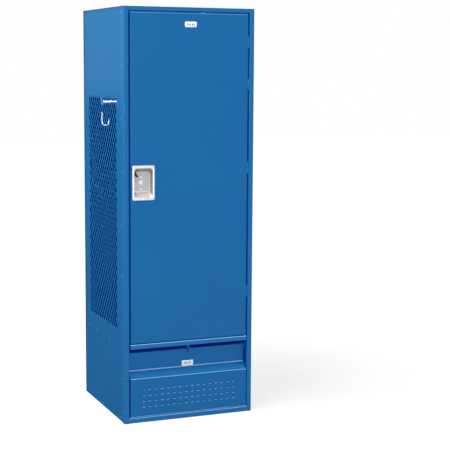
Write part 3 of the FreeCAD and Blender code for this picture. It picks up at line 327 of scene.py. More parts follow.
def metal_grain_group():
    """Drawn or brushed metal: fine upright lines, cloudy handling marks and painted shade in hollows, most
    on faces that turn downwards.
    """
    tree, given, result = shader_group(
        "metal_grain",
        [
            ("Colour", "NodeSocketColor", (0.6, 0.6, 0.6, 1)),
            ("Lines", "NodeSocketFloat", 0.1),
            ("Marks", "NodeSocketFloat", 0.1),
            ("Hollows", "NodeSocketFloat", 0.0),
            ("Roughness", "NodeSocketFloat", 0.3),
        ],
        [("Colour", "NodeSocketColor"), ("Roughness", "NodeSocketFloat"), ("Height", "NodeSocketFloat")],
    )
    place = tree.nodes.new("ShaderNodeTexCoord").outputs["Object"]
    lines = noise(tree, place, 1.0, 3.0, LINE_STRETCH)
    marks = noise(tree, place, MARK_SCALE, 4.0)
    tone = math_node(tree, "MULTIPLY", remap(tree, lines, 0.25, 0.75, -1, 1), given.outputs["Lines"])
    cloud = math_node(tree, "MULTIPLY", remap(tree, marks, 0.3, 0.7, -1, 1), given.outputs["Marks"])
    gain = math_node(tree, "ADD", 1.0, math_node(tree, "ADD", tone, cloud))
    shade = tree.nodes.new("ShaderNodeHueSaturation")
    tree.links.new(given.outputs["Colour"], shade.inputs["Color"])
    tree.links.new(gain, shade.inputs["Value"])
    # Painted shade: the colour darkens in hollows, most on faces that turn downwards, where less light
    # falls
    shelter = tree.nodes.new("ShaderNodeAmbientOcclusion")
    shelter.inputs["Distance"].default_value = HOLLOW_REACH
    hollow = remap(tree, shelter.outputs["AO"], 0.35, 1.0, 1.0, 0.0)
    tilt = split(tree, tree.nodes.new("ShaderNodeNewGeometry").outputs["Normal"])["Z"]
    unlit = math_node(tree, "MULTIPLY", hollow, remap(tree, tilt, -0.5, 0.3, 1.0, 0.05))
    hollow_shade = math_node(tree, "MULTIPLY", unlit, given.outputs["Hollows"])
    tree.links.new(mix_colour(tree, hollow_shade, shade.outputs["Color"], HOLLOW_SHADE_METAL), result.inputs["Colour"])
    smudge = math_node(tree, "MULTIPLY", cloud, MARK_DULLING)
    rough = math_node(tree, "ADD", given.outputs["Roughness"], smudge)
    tree.links.new(rough, result.inputs["Roughness"])
    tree.links.new(lines, result.inputs["Height"])
    return tree


PAINT_FILM = paint_film_group()
METAL_GRAIN = metal_grain_group()


# Finishes

def finish_from(name, group, values, bump, **sockets):
    """Material whose colour, roughness and bump come from a shared group with its own values."""
    material = bpy.data.materials.new(name)
    material.use_nodes = True
    tree = material.node_tree
    shader = tree.nodes["Principled BSDF"]
    effect = tree.nodes.new("ShaderNodeGroup")
    effect.node_tree = group
    for label, value in values.items():
        effect.inputs[label].default_value = value
    tree.links.new(effect.outputs["Colour"], shader.inputs["Base Color"])
    tree.links.new(effect.outputs["Roughness"], shader.inputs["Roughness"])
    relief = tree.nodes.new("ShaderNodeBump")
    relief.inputs["Strength"].default_value = bump[0]
    relief.inputs["Distance"].default_value = bump[1]
    tree.links.new(effect.outputs["Height"], relief.inputs["Height"])
    tree.links.new(relief.outputs["Normal"], shader.inputs["Normal"])
    for label, value in sockets.items():
        shader.inputs[label.replace("_", " ")].default_value = value
    return material


FRAME_BLUE = (0.007, 0.137, 0.290, 1)
DOOR_BLUE = (0.003, 0.125, 0.275, 1)
SIDE_BLUE = (0.004, 0.127, 0.262, 1)
# Lighter copy of the enamel for the rod sockets: a painted highlight
SOCKET_LIT_BLUE = (0.06, 0.27, 0.52, 1)
HINGE_BLUE = (0.012, 0.155, 0.33, 1)
# Lighter copy of the side enamel for the webs around the openings: painted highlight
STRAND_HIGHLIGHT_BLUE = (0.018, 0.18, 0.36, 1)
# Darker copy of the enamel for faces towards the inside: painted shade
INSIDE_SHADE_BLUE = (0.001, 0.055, 0.15, 1)
# Navy emission of the enamels, deeper on the inside: a painted glow that lifts their shadows
GLOW_BLUE = (0.0, 0.007, 0.095, 1)
DEEP_GLOW_BLUE = (0.0, 0.004, 0.085, 1)
# Colour of the painted highlight on bends
BEND_HIGHLIGHT_BLUE = (0.24, 0.48, 0.68, 1)
ENAMEL_FILM = 0.35
EDGE_FILM = 0.06
CLEAR_BEND = 0.9
DOOR_BEND = 0.3
# The top edge of the foot-locker front gets no painted bend highlight and stays as dark as its face
FLAP_EDGE = 12 * MM
FLAP_BEND_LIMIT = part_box("flap_front")[1].z - FLAP_EDGE


def enamel(name, colour, bend=0.0, film=EDGE_FILM, shade=GLOW_BLUE, limit=ALL_BENDS):
    """Satin enamel under a light clear film, with a painted highlight on bends up to a level and a faint
    painted glow.
    """
    material = finish_from(
        name,
        PAINT_FILM,
        {
            "Colour": colour,
            "Drift": 0.03,
            "Dust": 0.04,
            "Bend Colour": BEND_HIGHLIGHT_BLUE,
            "Bend": bend,
            "Bend Limit": limit,
            "Roughness": 0.4,
        },
        (0.1, 0.2 * MM),
        Specular_IOR_Level=0.0,
        Coat_Roughness=0.2,
        # The emission is a painted glow that lifts every shadow on the enamel
        Emission_Color=shade,
        Emission_Strength=1.0,
    )
    tree = material.node_tree
    facing = tree.nodes.new("ShaderNodeLayerWeight").outputs["Facing"]
    shine = remap(tree, facing, 0.25, 0.6, film, EDGE_FILM)
    tree.links.new(shine, tree.nodes["Principled BSDF"].inputs["Coat Weight"])
    return material


def back_enamel():
    """Enamel of the back panel: full colour outside, and painted shade with a dimmer painted glow on the
    side towards the inside.
    """
    material = enamel("back_enamel", SIDE_BLUE)
    tree = material.node_tree
    facing = split(tree, tree.nodes.new("ShaderNodeNewGeometry").outputs["Normal"])["Y"]
    outside = remap(tree, facing, 0.0, 0.2, 0.0, 1.0)
    shaded_colour = mix_colour(tree, outside, INSIDE_SHADE_BLUE, SIDE_BLUE)
    shade = mix_colour(tree, outside, DEEP_GLOW_BLUE, GLOW_BLUE)
    tree.links.new(shaded_colour, tree.nodes["Group"].inputs["Colour"])
    tree.links.new(shade, tree.nodes["Principled BSDF"].inputs["Emission Color"])
    return material


BLUE_ENAMEL = enamel("blue_enamel", FRAME_BLUE, CLEAR_BEND, ENAMEL_FILM)
DOOR_ENAMEL = enamel("door_enamel", DOOR_BLUE, DOOR_BEND, ENAMEL_FILM)
FLAP_ENAMEL = enamel("flap_enamel", DOOR_BLUE, CLEAR_BEND, ENAMEL_FILM, limit=FLAP_BEND_LIMIT)
SIDE_ENAMEL = enamel("side_enamel", SIDE_BLUE)
STRAND_HIGHLIGHT_ENAMEL = enamel("strand_highlight_enamel", STRAND_HIGHLIGHT_BLUE)
SOCKET_LIT_ENAMEL = enamel("socket_lit_enamel", SOCKET_LIT_BLUE)
HINGE_ENAMEL = enamel("hinge_enamel", HINGE_BLUE)
INSIDE_SHADE_ENAMEL = enamel("inside_shade_enamel", INSIDE_SHADE_BLUE, shade=DEEP_GLOW_BLUE)
BACK_ENAMEL = back_enamel()
STAINLESS = finish_from(
    "stainless",
    METAL_GRAIN,
    {"Colour": (0.54, 0.54, 0.535, 1), "Lines": 0.06, "Marks": 0.04, "Hollows": 0.9, "Roughness": 0.36},
    (0.1, 0.05 * MM),
    Metallic=0.9,
)
# Darker, rougher copy of the stainless for the pocket: partly a duller drawn finish, partly painted shade
POCKET_SHADE_STEEL = finish_from(
    "pocket_shade_steel",
    METAL_GRAIN,
    {"Colour": (0.44, 0.44, 0.435, 1), "Lines": 0.07, "Marks": 0.06, "Hollows": 1.0, "Roughness": 0.58},
    (0.1, 0.05 * MM),
    Metallic=0.4,
)
BRIGHT_PLATE = finish_from(
    "bright_plate",
    METAL_GRAIN,
    {"Colour": (0.9, 0.9, 0.9, 1), "Lines": 0.02, "Marks": 0.03, "Roughness": 0.24},
    (0.03, 0.02 * MM),
    Metallic=0.45,
)
CHROME = finish_from(
    "chrome",
    METAL_GRAIN,
    {"Colour": (0.86, 0.87, 0.88, 1), "Lines": 0.01, "Marks": 0.03, "Roughness": 0.3},
    (0.02, 0.02 * MM),
    Metallic=1.0,
)
SATIN_NICKEL = finish_from(
    "satin_nickel",
    METAL_GRAIN,
    {"Colour": (0.95, 0.95, 0.94, 1), "Lines": 0.02, "Marks": 0.02, "Roughness": 0.3},
    (0.03, 0.02 * MM),
    Metallic=0.1,
)
ZINC_STEEL = finish_from(
    "zinc_steel",
    METAL_GRAIN,
    {"Colour": (0.62, 0.63, 0.62, 1), "Lines": 0.04, "Marks": 0.12, "Roughness": 0.38},
    (0.12, 0.05 * MM),
    Metallic=1.0,
)
# Blue heads of the rivets and the gap clip, set lighter than the enamel: a painted highlight
RIVET_HIGHLIGHT_BLUE = finish_from(
    "rivet_highlight_blue",
    METAL_GRAIN,
    {"Colour": (0.06, 0.28, 0.5, 1), "Lines": 0.02, "Marks": 0.1, "Roughness": 0.45},
    (0.08, 0.05 * MM),
    Specular_IOR_Level=0.25,
)
WHITE_PLATE = finish_from(
    "white_plate",
    PAINT_FILM,
    {"Colour": (0.93, 0.93, 0.91, 1), "Drift": 0.02, "Dust": 0.0, "Roughness": 0.45},
    (0.05, 0.1 * MM),
)
GREY_INK = finish_from(
    "grey_ink",
    PAINT_FILM,
    {"Colour": (0.02, 0.02, 0.022, 1), "Drift": 0.1, "Dust": 0.0, "Roughness": 0.6},
    (0.05, 0.05 * MM),
)
BLACK_RUBBER = finish_from(
    "black_rubber",
    PAINT_FILM,
    {"Colour": (0.012, 0.012, 0.013, 1), "Drift": 0.2, "Dust": 0.05, "Roughness": 0.75},
    (0.3, 0.2 * MM),
    Specular_IOR_Level=0.2,
)
FINISH_OF_SLOT = {
    "blue_enamel": BLUE_ENAMEL,
    "stainless": STAINLESS,
    "bright_plate": BRIGHT_PLATE,
    "zinc_steel": ZINC_STEEL,
    "white_plate": WHITE_PLATE,
    "black_rubber": BLACK_RUBBER,
}
DOOR_SHEETS = ("door_pan", "door_stiffener")
FLAP_SHEETS = ("flap_front", "flap_hinge_leaf")
HINGE_LEAVES = ("hinge_door_leaves", "hinge_frame_leaves")
FINISH_OF_NODES = (
    (DOOR_SHEETS, DOOR_ENAMEL),
    (FLAP_SHEETS, FLAP_ENAMEL),
    (HINGE_LEAVES, HINGE_ENAMEL),
    (("coat_rod",), CHROME),
    (("back_panel",), BACK_ENAMEL),
)


def dress_cad_nodes():
    """Gives every CAD node the finish of its slot, and some nodes a finish of their own."""
    for entry in frame["record"]["subparts"]:
        node = frame["nodes"][entry["node"]]
        node.data.materials.clear()
        node.data.materials.append(FINISH_OF_SLOT[entry["material_slot"]])
    for names, finish in FINISH_OF_NODES:
        for name in names:
            frame["nodes"][name].data.materials[0] = finish


# Perforated side sheets

MESH_FRONT = 105 * MM
MESH_REAR = 533 * MM
MESH_LOW = 402 * MM
MESH_HIGH = 1442 * MM
MESH_COLUMNS = 14
MESH_ROWS = 24
SHEET_GAUGE = 0.9 * MM
HOLE_HALF_WIDTH = 14.2 * MM
HOLE_HALF_HEIGHT = 20.4 * MM
HOLE_ROLL = 0.5 * MM
THROAT_SHARE = 0.96
OUTER_FACE, STRAND_FACE, INNER_FACE = range(3)


def side_sheet(side, node):
    """Sheet with staggered upright diamonds whose edges roll inwards, between plain margins."""
    low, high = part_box(node)
    outer = high.x if side > 0 else low.x
    inner = outer - side * SHEET_GAUGE
    roll = outer - side * HOLE_ROLL
    front = FRONT + MESH_FRONT
    pitch = (MESH_REAR - MESH_FRONT) / MESH_COLUMNS
    rise = (MESH_HIGH - MESH_LOW) / MESH_ROWS
    shape = bmesh.new()

    def corner(x, column, row):
        return Vector((x, front + column * pitch, MESH_LOW + row * rise))

    def flat(*places):
        """The same flat patch on the outer and inner faces, between (column, row) places."""
        for x, finish in ((outer, OUTER_FACE), (inner, INNER_FACE)):
            face = shape.faces.new([shape.verts.new(corner(x, *place)) for place in places])
            face.material_index = finish

    def margin(near, far, base, tip):
        flat((near, base), (far, base), (far, tip), (near, tip))

    def strand(spots, finish=STRAND_FACE):
        """One face of the webs around an opening."""
        face = shape.faces.new([shape.verts.new((x, spot.y, spot.z)) for x, spot in spots])
        face.material_index = finish

    def cell(column, row):
        """One diamond opening with the four webs around it."""
        centre = corner(outer, column, row)
        crossings = ((1, 0), (0, 1), (-1, 0), (0, -1))
        webs = [corner(outer, column + across / 2, row + up / 2) for across, up in crossings]
        across = Vector((0, HOLE_HALF_WIDTH, 0))
        up = Vector((0, 0, HOLE_HALF_HEIGHT))
        mouth = [centre + across, centre + up, centre - across, centre - up]
        throat = [centre + (spot - centre) * THROAT_SHARE for spot in mouth]
        for i in range(4):
            j = (i + 1) % 4
            strand([(outer, spot) for spot in (webs[i], webs[j], mouth[j], mouth[i])])
            strand([(inner, spot) for spot in (webs[i], webs[j], throat[j], throat[i])], INNER_FACE)
            strand([(outer, mouth[i]), (outer, mouth[j]), (roll, throat[j]), (roll, throat[i])])
            strand([(roll, throat[i]), (roll, throat[j]), (inner, throat[j]), (inner, throat[i])])

    for column in range(MESH_COLUMNS):
        for row in range(MESH_ROWS):
            cell(column + 0.5, row + 0.5)
            if column and row:
                cell(column, row)
    for column in range(MESH_COLUMNS + 1):
        left = max(column - 0.5, 0)
        right = min(column + 0.5, MESH_COLUMNS)
        for edge, point in ((0, 0.5), (MESH_ROWS, MESH_ROWS - 0.5)):
            flat((left, edge), (right, edge), (column, point))
    for row in range(1, MESH_ROWS):
        for edge, point in ((0, 0.5), (MESH_COLUMNS, MESH_COLUMNS - 0.5)):
            flat((edge, row - 0.5), (edge, row + 0.5), (point, row))
    sheet_front = (low.y - front) / pitch
    sheet_rear = (high.y - front) / pitch
    sheet_low = (low.z - MESH_LOW) / rise
    sheet_high = (high.z - MESH_LOW) / rise
    levels = [0] + [row + 0.5 for row in range(MESH_ROWS)] + [MESH_ROWS]
    for near, far in ((sheet_front, 0), (MESH_COLUMNS, sheet_rear)):
        for base, tip in zip(levels, levels[1:]):
            margin(near, far, base, tip)
    columns = [0] + [column + 0.5 for column in range(MESH_COLUMNS)] + [MESH_COLUMNS]
    columns = [sheet_front] + columns + [sheet_rear]
    for base, tip in ((sheet_low, 0), (MESH_ROWS, sheet_high)):
        for near, far in zip(columns, columns[1:]):
            margin(near, far, base, tip)
    heights = [sheet_low] + levels + [sheet_high]
    rim = [(column, sheet_low) for column in columns]
    rim += [(sheet_rear, row) for row in heights[1:]]
    rim += [(column, sheet_high) for column in columns[-2::-1]]
    rim += [(sheet_front, row) for row in heights[-2:0:-1]]
    for near, far in zip(rim, rim[1:] + rim[:1]):
        edge = [corner(outer, *near), corner(outer, *far), corner(inner, *far), corner(inner, *near)]
        shape.faces.new([shape.verts.new(spot) for spot in edge])
    mesh = mesh_from(f"{node}_sheet", shape)
    sheet = add_piece(f"{node}_sheet", mesh, "cabinet", SIDE_ENAMEL)
    # Webs around the openings take the lighter copy: painted highlight
    sheet.data.materials.append(STRAND_HIGHLIGHT_ENAMEL)
    # Inner faces of the sheet take the darker copy: painted shade
    sheet.data.materials.append(INSIDE_SHADE_ENAMEL)
    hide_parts(node)


# Rivets

RIVET_RADIUS = 3.8 * MM
RIVET_HEIGHT = 0.95 * MM
EDGE_LEVELS = [level * MM for level in (46, 200, 430, 659, 888, 1117, 1345, 1574, 1802)]
FRONT_ROW = 32 * MM
REAR_ROW = 15.5 * MM
SEAT_ROW_LEVEL = 343 * MM
SEAT_ROW_DEPTHS = [depth * MM for depth in (101, 224, 424, 554)]
FOOT_ROW_LEVEL = 13 * MM
FOOT_ROW_DEPTHS = [depth * MM for depth in (69, 331)]


def side_rivets():
    """Button heads along the edges, seat and foot of both side walls."""
    for name, side, upright, panel in (
        ("left_rivets", -1, "left_upright", "left_side_panel"),
        ("right_rivets", 1, "right_upright", "right_side_panel"),
    ):
        end = 1 if side > 0 else 0
        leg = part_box(upright)[end].x
        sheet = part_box(panel)[end].x
        spots = [(leg, FRONT + FRONT_ROW, level) for level in EDGE_LEVELS]
        spots += [(sheet, REAR - REAR_ROW, level) for level in EDGE_LEVELS]
        spots += [(sheet, FRONT + depth, SEAT_ROW_LEVEL) for depth in SEAT_ROW_DEPTHS]
        spots += [(sheet, FRONT + depth, FOOT_ROW_LEVEL) for depth in FOOT_ROW_DEPTHS]
        shape = bmesh.new()
        for spot in spots:
            add_dome(shape, spot, (side, 0, 0), RIVET_RADIUS, RIVET_HEIGHT)
        add_piece(name, mesh_from(name, shape), "cabinet", RIVET_HIGHLIGHT_BLUE, math.radians(50))


# Plugs of the wall-anchor holes

ANCHOR_HALF_SPREAD = 203.2 * MM
ANCHOR_LEVELS = (500 * MM, 1500 * MM)
ANCHOR_PLUG_RADIUS = 7 * MM
ANCHOR_PLUG_HEIGHT = 1.4 * MM


def anchor_plugs():
    """Snap-in plugs that close the back panel's anchor holes on the inside until they are used."""
    shape = bmesh.new()
    for x in (-ANCHOR_HALF_SPREAD, ANCHOR_HALF_SPREAD):
        for level in ANCHOR_LEVELS:
            spot = (x, REAR - SHEET_STEEL, level)
            add_dome(shape, spot, (0, -1, 0), ANCHOR_PLUG_RADIUS, ANCHOR_PLUG_HEIGHT)
    mesh = mesh_from("anchor_plugs", shape)
    # The plugs inside take the darker copy: painted shade
    add_piece("anchor_plugs", mesh, "cabinet", INSIDE_SHADE_ENAMEL, math.radians(40))


# Latch cup

CUP_GAUGE = 1.2 * MM
CUP_RIM_SIDE = 8.8 * MM
CUP_RIM_END = 13.2 * MM
CUP_FLANGE_CORNER = 7 * MM
CUP_CORNER = 14 * MM
CUP_TAPER = 4 * MM
CUP_SLOPE = 20 * MM
CUP_HEAD_SLOPE = 13 * MM
CUP_LIP = 1.6 * MM
CUP_FLOOR_TURN = 3 * MM
POCKET_START = 2.5 * MM
SLOT_LEVELS = (1113.5 * MM, 1087.5 * MM)
SLOT_DEPTHS = (5.2 * MM, 9.8 * MM)
# Place of the slot's first point on a loop, after the two upper corners
SLOT_PLACE = 2 * (CORNER_STEPS + 1)


def latch_cup():
    """Drawn stainless cup with rolled edges, a tapered pocket and a sloping foot."""
    low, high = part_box("latch_cup")
    middle = (low.x + high.x) / 2
    half = (high.x - low.x) / 2
    face = low.y + CUP_GAUGE
    floor = high.y - CUP_GAUGE
    mouth = half - CUP_RIM_SIDE
    mouth_low = low.z + CUP_RIM_END
    mouth_high = high.z - CUP_RIM_END

    def pocket(depth, grow):
        """Pocket section at a share of its depth, grown for the outside."""
        return (
            mouth - depth * CUP_TAPER + grow,
            mouth_low + depth * CUP_SLOPE - grow,
            mouth_high - depth * CUP_HEAD_SLOPE + grow,
            CUP_CORNER + grow,
        )

    run = floor - low.y

    def ring(y, section):
        return rounded_loop(y, middle, *section, marks=SLOT_LEVELS)

    def slot_wall(y, section):
        """The two slot corners on a pocket section's left side."""
        return [Vector((middle - section[0], y, level)) for level in SLOT_LEVELS]

    flange = (half, low.z, high.z, CUP_FLANGE_CORNER)
    rim = [ring(face, flange)]
    for angle in QUARTER_TURN:
        back = CUP_GAUGE * (1 - math.sin(angle))
        inset = CUP_GAUGE * (1 - math.cos(angle))
        edge = (half - inset, low.z + inset, high.z - inset, CUP_FLANGE_CORNER - inset)
        rim.append(ring(low.y + back, edge))
    wide, foot, head, corner = pocket(0, 0)
    for angle in QUARTER_TURN:
        inset = CUP_LIP * (1 - math.sin(angle))
        depth = CUP_LIP * (1 - math.cos(angle))
        rim.append(ring(low.y + depth, (wide + inset, foot - inset, head + inset, corner + inset)))
    slot_depths = [FRONT + depth for depth in SLOT_DEPTHS]
    inner = [ring(y, pocket((y - low.y) / run, 0)) for y in slot_depths]
    rim.append(inner[0])
    turn = []
    for angle in QUARTER_TURN:
        depth = 1 - CUP_FLOOR_TURN / run * (1 - math.sin(angle))
        inset = -CUP_FLOOR_TURN * (1 - math.cos(angle))
        turn.append(ring(low.y + depth * run, pocket(depth, inset)))
    outer = [ring(y, pocket((y - low.y) / run, CUP_GAUGE)) for y in slot_depths]
    shape = bmesh.new()
    add_loops(shape, rim, close_start=False, close_end=False)
    add_loops(shape, inner[1:] + turn, close_start=False)
    add_loops(shape, [ring(face, flange), ring(face, pocket(0, CUP_GAUGE)), outer[0]], False, False)
    back_turn = 1 - CUP_FLOOR_TURN / run
    add_loops(
        shape,
        [
            outer[1],
            ring(high.y - CUP_FLOOR_TURN, pocket(back_turn, CUP_GAUGE)),
            ring(high.y, pocket(1, CUP_GAUGE - CUP_FLOOR_TURN)),
        ],
        close_start=False,
    )
    for near, far in (inner, outer):
        count = len(near)
        for i in range(count):
            j = (i + 1) % count
            if i != SLOT_PLACE:
                shape.faces.new([shape.verts.new(spot) for spot in (near[i], near[j], far[j], far[i])])
    mouths = []
    for grow in (0, CUP_GAUGE):
        sections = [pocket((y - low.y) / run, grow) for y in slot_depths]
        top, bottom = slot_wall(slot_depths[0], sections[0])
        back_top, back_bottom = slot_wall(slot_depths[1], sections[1])
        mouths.append([top, back_top, back_bottom, bottom])
    for i in range(4):
        j = (i + 1) % 4
        wall = (mouths[0][i], mouths[0][j], mouths[1][j], mouths[1][i])
        shape.faces.new([shape.verts.new(spot) for spot in wall])
    mesh = mesh_from("latch_cup_shell", shape)
    cup = add_piece("latch_cup_shell", mesh, "door", STAINLESS, math.radians(35))
    # Faces inside the pocket take the darker copy: painted shade
    cup.data.materials.append(POCKET_SHADE_STEEL)
    for face in cup.data.polygons:
        face.material_index = 1 if face.center.y > low.y + POCKET_START else 0
    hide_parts("latch_cup")


# Latch trigger and cup heads

TRIGGER_EDGE = 0.6 * MM
TRIGGER_ROOT = [(-260, 1104), (-260, 1111.5), (-254.5, 1112)]
TRIGGER_BACK = ((-251.5, 1123.5), (-247, 1108), (-236.5, 1098.5))
TRIGGER_FRONT = ((-239.5, 1095.2), (-250, 1099), (-254, 1104))


def curve(start, pull, end, steps=6):
    """Points of a smooth bend from start to end, drawn towards the pull."""
    spots = []
    for step in range(steps + 1):
        share = step / steps
        weights = ((1 - share) ** 2, 2 * share * (1 - share), share ** 2)
        pairs = zip(start, pull, end)
        spots.append(tuple(sum(w * value for w, value in zip(weights, pair)) for pair in pairs))
    return spots


def trigger_lift():
    """Curved black finger lift of the latch."""
    low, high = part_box("latch_trigger")
    outline = TRIGGER_ROOT + curve(*TRIGGER_BACK) + curve(*TRIGGER_FRONT)
    corners = [(x * MM, z * MM) for x, z in outline]
    shape = bmesh.new()
    add_plate(shape, corners, low.y, high.y, TRIGGER_EDGE)
    mesh = mesh_from("trigger_lift", shape)
    lift = add_piece("trigger_lift", mesh, "latch_bar", BLACK_RUBBER)
    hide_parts("latch_trigger")


PLUG_PLACE = -220.7 * MM
PLUG_RADIUS = 6.7 * MM
PLUG_HEIGHT = 1.7 * MM
PLUG_COLLAR = 9.2 * MM
COLLAR_WIRE = 0.5 * MM
COLLAR_STEPS = 32
WIRE_SIDES = 8
HEAD_RADIUS = 3.9 * MM
HEAD_HEIGHT = 1.6 * MM
HEAD_LIFTS = (24.5 * MM, -28.7 * MM)
SCREW_RADIUS = 3.2 * MM
BEAD_INSET = 2.4 * MM
BEAD_RADIUS = 1.2 * MM


def cup_heads():
    """Lock-hole plug with its collar, two rivets on the pocket's floor and the screw in the lower rim."""
    screw_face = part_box("cup_fittings")[0].y
    cup_low, cup_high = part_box("latch_cup")
    middle = (cup_low.x + cup_high.x) / 2
    floor = cup_high.y - CUP_GAUGE
    level = (cup_low.z + cup_high.z) / 2
    outward = (0, -1, 0)
    shape = bmesh.new()
    collar = []
    for step in range(COLLAR_STEPS):
        bearing = 2 * math.pi * step / COLLAR_STEPS
        out = PLUG_COLLAR * math.cos(bearing)
        lift = PLUG_COLLAR * math.sin(bearing)
        collar.append(Vector((PLUG_PLACE + out, floor, level + lift)))
    collar.append(collar[0])
    add_tube(shape, collar, [COLLAR_WIRE] * len(collar), WIRE_SIDES)
    half = (cup_high.x - cup_low.x) / 2 - CUP_RIM_SIDE - CUP_TAPER - BEAD_INSET
    foot = cup_low.z + CUP_RIM_END + CUP_SLOPE + BEAD_INSET
    head = cup_high.z - CUP_RIM_END - CUP_HEAD_SLOPE - BEAD_INSET
    edge = rounded_loop(floor, middle, half, foot, head, CUP_CORNER - BEAD_INSET)
    bead = edge[SLOT_PLACE - 1:] + edge[:1]
    add_tube(shape, bead, [BEAD_RADIUS] * len(bead), WIRE_SIDES)
    add_dome(shape, (PLUG_PLACE, floor, level), outward, PLUG_RADIUS, PLUG_HEIGHT, sides=24, steps=6)
    for lift in HEAD_LIFTS:
        add_dome(shape, (PLUG_PLACE, floor, level + lift), outward, HEAD_RADIUS, HEAD_HEIGHT)
    screw = (middle, cup_low.y, cup_low.z + CUP_RIM_END / 2)
    add_dome(shape, screw, outward, SCREW_RADIUS, cup_low.y - screw_face)
    mesh = mesh_from("cup_heads", shape)
    heads = add_piece("cup_heads", mesh, "door", SATIN_NICKEL, math.radians(40))
    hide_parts("cup_fittings")


# Coat hooks

HOOK_WIRE = 3.2 * MM
HOOK_BALL = 4.2 * MM
HOOK_BEND = 15.6 * MM
HOOK_BEND_STEPS = 12
HOOK_SAG = 5 * MM
HOOK_DEPTH = 29.2 * MM
HOOK_STEM_DROPS = (6 * MM, 25 * MM)
HOOK_TIP_LIFTS = (4 * MM, 7 * MM, 9 * MM, 11 * MM, 12.5 * MM)
HOOK_BALL_SHARES = (0.97, 1.0, 0.9, 0.4)
HOOK_PLATE_DROP = 13 * MM
HOOK_PLATE_HALF_WIDTH = 6.5 * MM
HOOK_PLATE_HALF_HEIGHT = 11.5 * MM
HOOK_PLATE_CORNER = 3 * MM
HOOK_PLATE_STEPS = ((0, 1.0), (1.0 * MM, 1.0), (1.6 * MM, 0.86))
HOOK_SCREW_DROPS = (5.5 * MM, 20.5 * MM)
HOOK_SCREW_BACK = 4 * MM
HOOK_SCREW_LIFT = 1.5 * MM
HOOK_SCREW_RADIUS = 1.9 * MM
HOOK_SCREW_HEIGHT = 0.9 * MM


def coat_hooks():
    """Bright wire hook on a small wall plate, one on each side wall."""
    low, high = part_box("coat_hooks")
    base = low.z - HOOK_SAG + HOOK_WIRE + HOOK_BEND
    plate_level = high.z - HOOK_PLATE_DROP
    shape = bmesh.new()
    for side in (-1, 1):
        wall = high.x if side > 0 else low.x

        def spot(inward, z):
            return Vector((wall - side * inward, HOOK_DEPTH, z))

        path = [spot(HOOK_WIRE, high.z - drop) for drop in HOOK_STEM_DROPS]
        for step in range(HOOK_BEND_STEPS + 1):
            angle = math.pi * step / HOOK_BEND_STEPS
            inward = HOOK_WIRE + HOOK_BEND * (1 - math.cos(angle))
            path.append(spot(inward, base - HOOK_BEND * math.sin(angle)))
        path += [spot(HOOK_WIRE + 2 * HOOK_BEND, base + lift) for lift in HOOK_TIP_LIFTS]
        ball = [share * HOOK_BALL for share in HOOK_BALL_SHARES]
        add_tube(shape, path, [HOOK_WIRE] * (len(path) - len(ball)) + ball)
        plate = []
        for lift, share in HOOK_PLATE_STEPS:
            foot = plate_level - HOOK_PLATE_HALF_HEIGHT * share
            head = plate_level + HOOK_PLATE_HALF_HEIGHT * share
            loop = rounded_loop(0, HOOK_DEPTH, HOOK_PLATE_HALF_WIDTH * share, foot, head, HOOK_PLATE_CORNER)
            plate.append([Vector((wall - side * lift, corner.x, corner.z)) for corner in loop])
        add_loops(shape, plate)
        for drop in HOOK_SCREW_DROPS:
            screw = (wall - side * HOOK_SCREW_LIFT, HOOK_DEPTH + HOOK_SCREW_BACK, high.z - drop)
            add_dome(shape, screw, (-side, 0, 0), HOOK_SCREW_RADIUS, HOOK_SCREW_HEIGHT, sides=10)
    mesh = mesh_from("coat_hook_wires", shape)
    hooks = add_piece("coat_hook_wires", mesh, "cabinet", BRIGHT_PLATE, math.radians(50))
    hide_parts("coat_hooks")


# Rod sockets

SOCKET_LENGTH = 14 * MM
SOCKET_FLANGE = 2 * MM
SOCKET_PLAY = 0.3 * MM
SOCKET_EDGE = 0.6 * MM
SOCKET_STEPS = 16
TROUGH_START = math.radians(200)
TROUGH_SWEEP = math.radians(140)


def rod_sockets():
    """Open-topped cup with a wall flange at each end of the coat rod."""
    low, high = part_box("rod_sockets")
    rod_low, rod_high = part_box("coat_rod")
    middle = (rod_low + rod_high) / 2
    bore = (rod_high.z - rod_low.z) / 2 + SOCKET_PLAY
    reach = (high.z - low.z) / 2
    shape = bmesh.new()
    for side in (-1, 1):
        wall = high.x if side > 0 else low.x

        def section(bearing, start, length):
            """Section of the cup's wall, square to its run, with softened outer corners."""
            spots = []
            for radius, along in (
                (bore, start),
                (reach - SOCKET_EDGE, start),
                (reach, start + SOCKET_EDGE),
                (reach, length - SOCKET_EDGE),
                (reach - SOCKET_EDGE, length),
                (bore, length),
            ):
                out = Vector((0, math.cos(bearing), math.sin(bearing))) * radius
                spots.append(Vector((wall - side * along, middle.y, middle.z)) + out)
            return spots

        turns = [math.pi * step / SOCKET_STEPS for step in range(2 * SOCKET_STEPS + 1)]
        flange = [section(bearing, 0, SOCKET_FLANGE) for bearing in turns]
        add_loops(shape, flange, close_start=False, close_end=False)
        turns = [TROUGH_START + TROUGH_SWEEP * step / SOCKET_STEPS for step in range(SOCKET_STEPS + 1)]
        add_loops(shape, [section(bearing, SOCKET_FLANGE / 2, SOCKET_LENGTH) for bearing in turns])
    mesh = mesh_from("rod_socket_cups", shape)
    # The sockets take the lighter copy of the enamel: painted highlight
    cups = add_piece("rod_socket_cups", mesh, "cabinet", SOCKET_LIT_ENAMEL, math.radians(35))
    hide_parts("rod_sockets")


# Foot-locker front

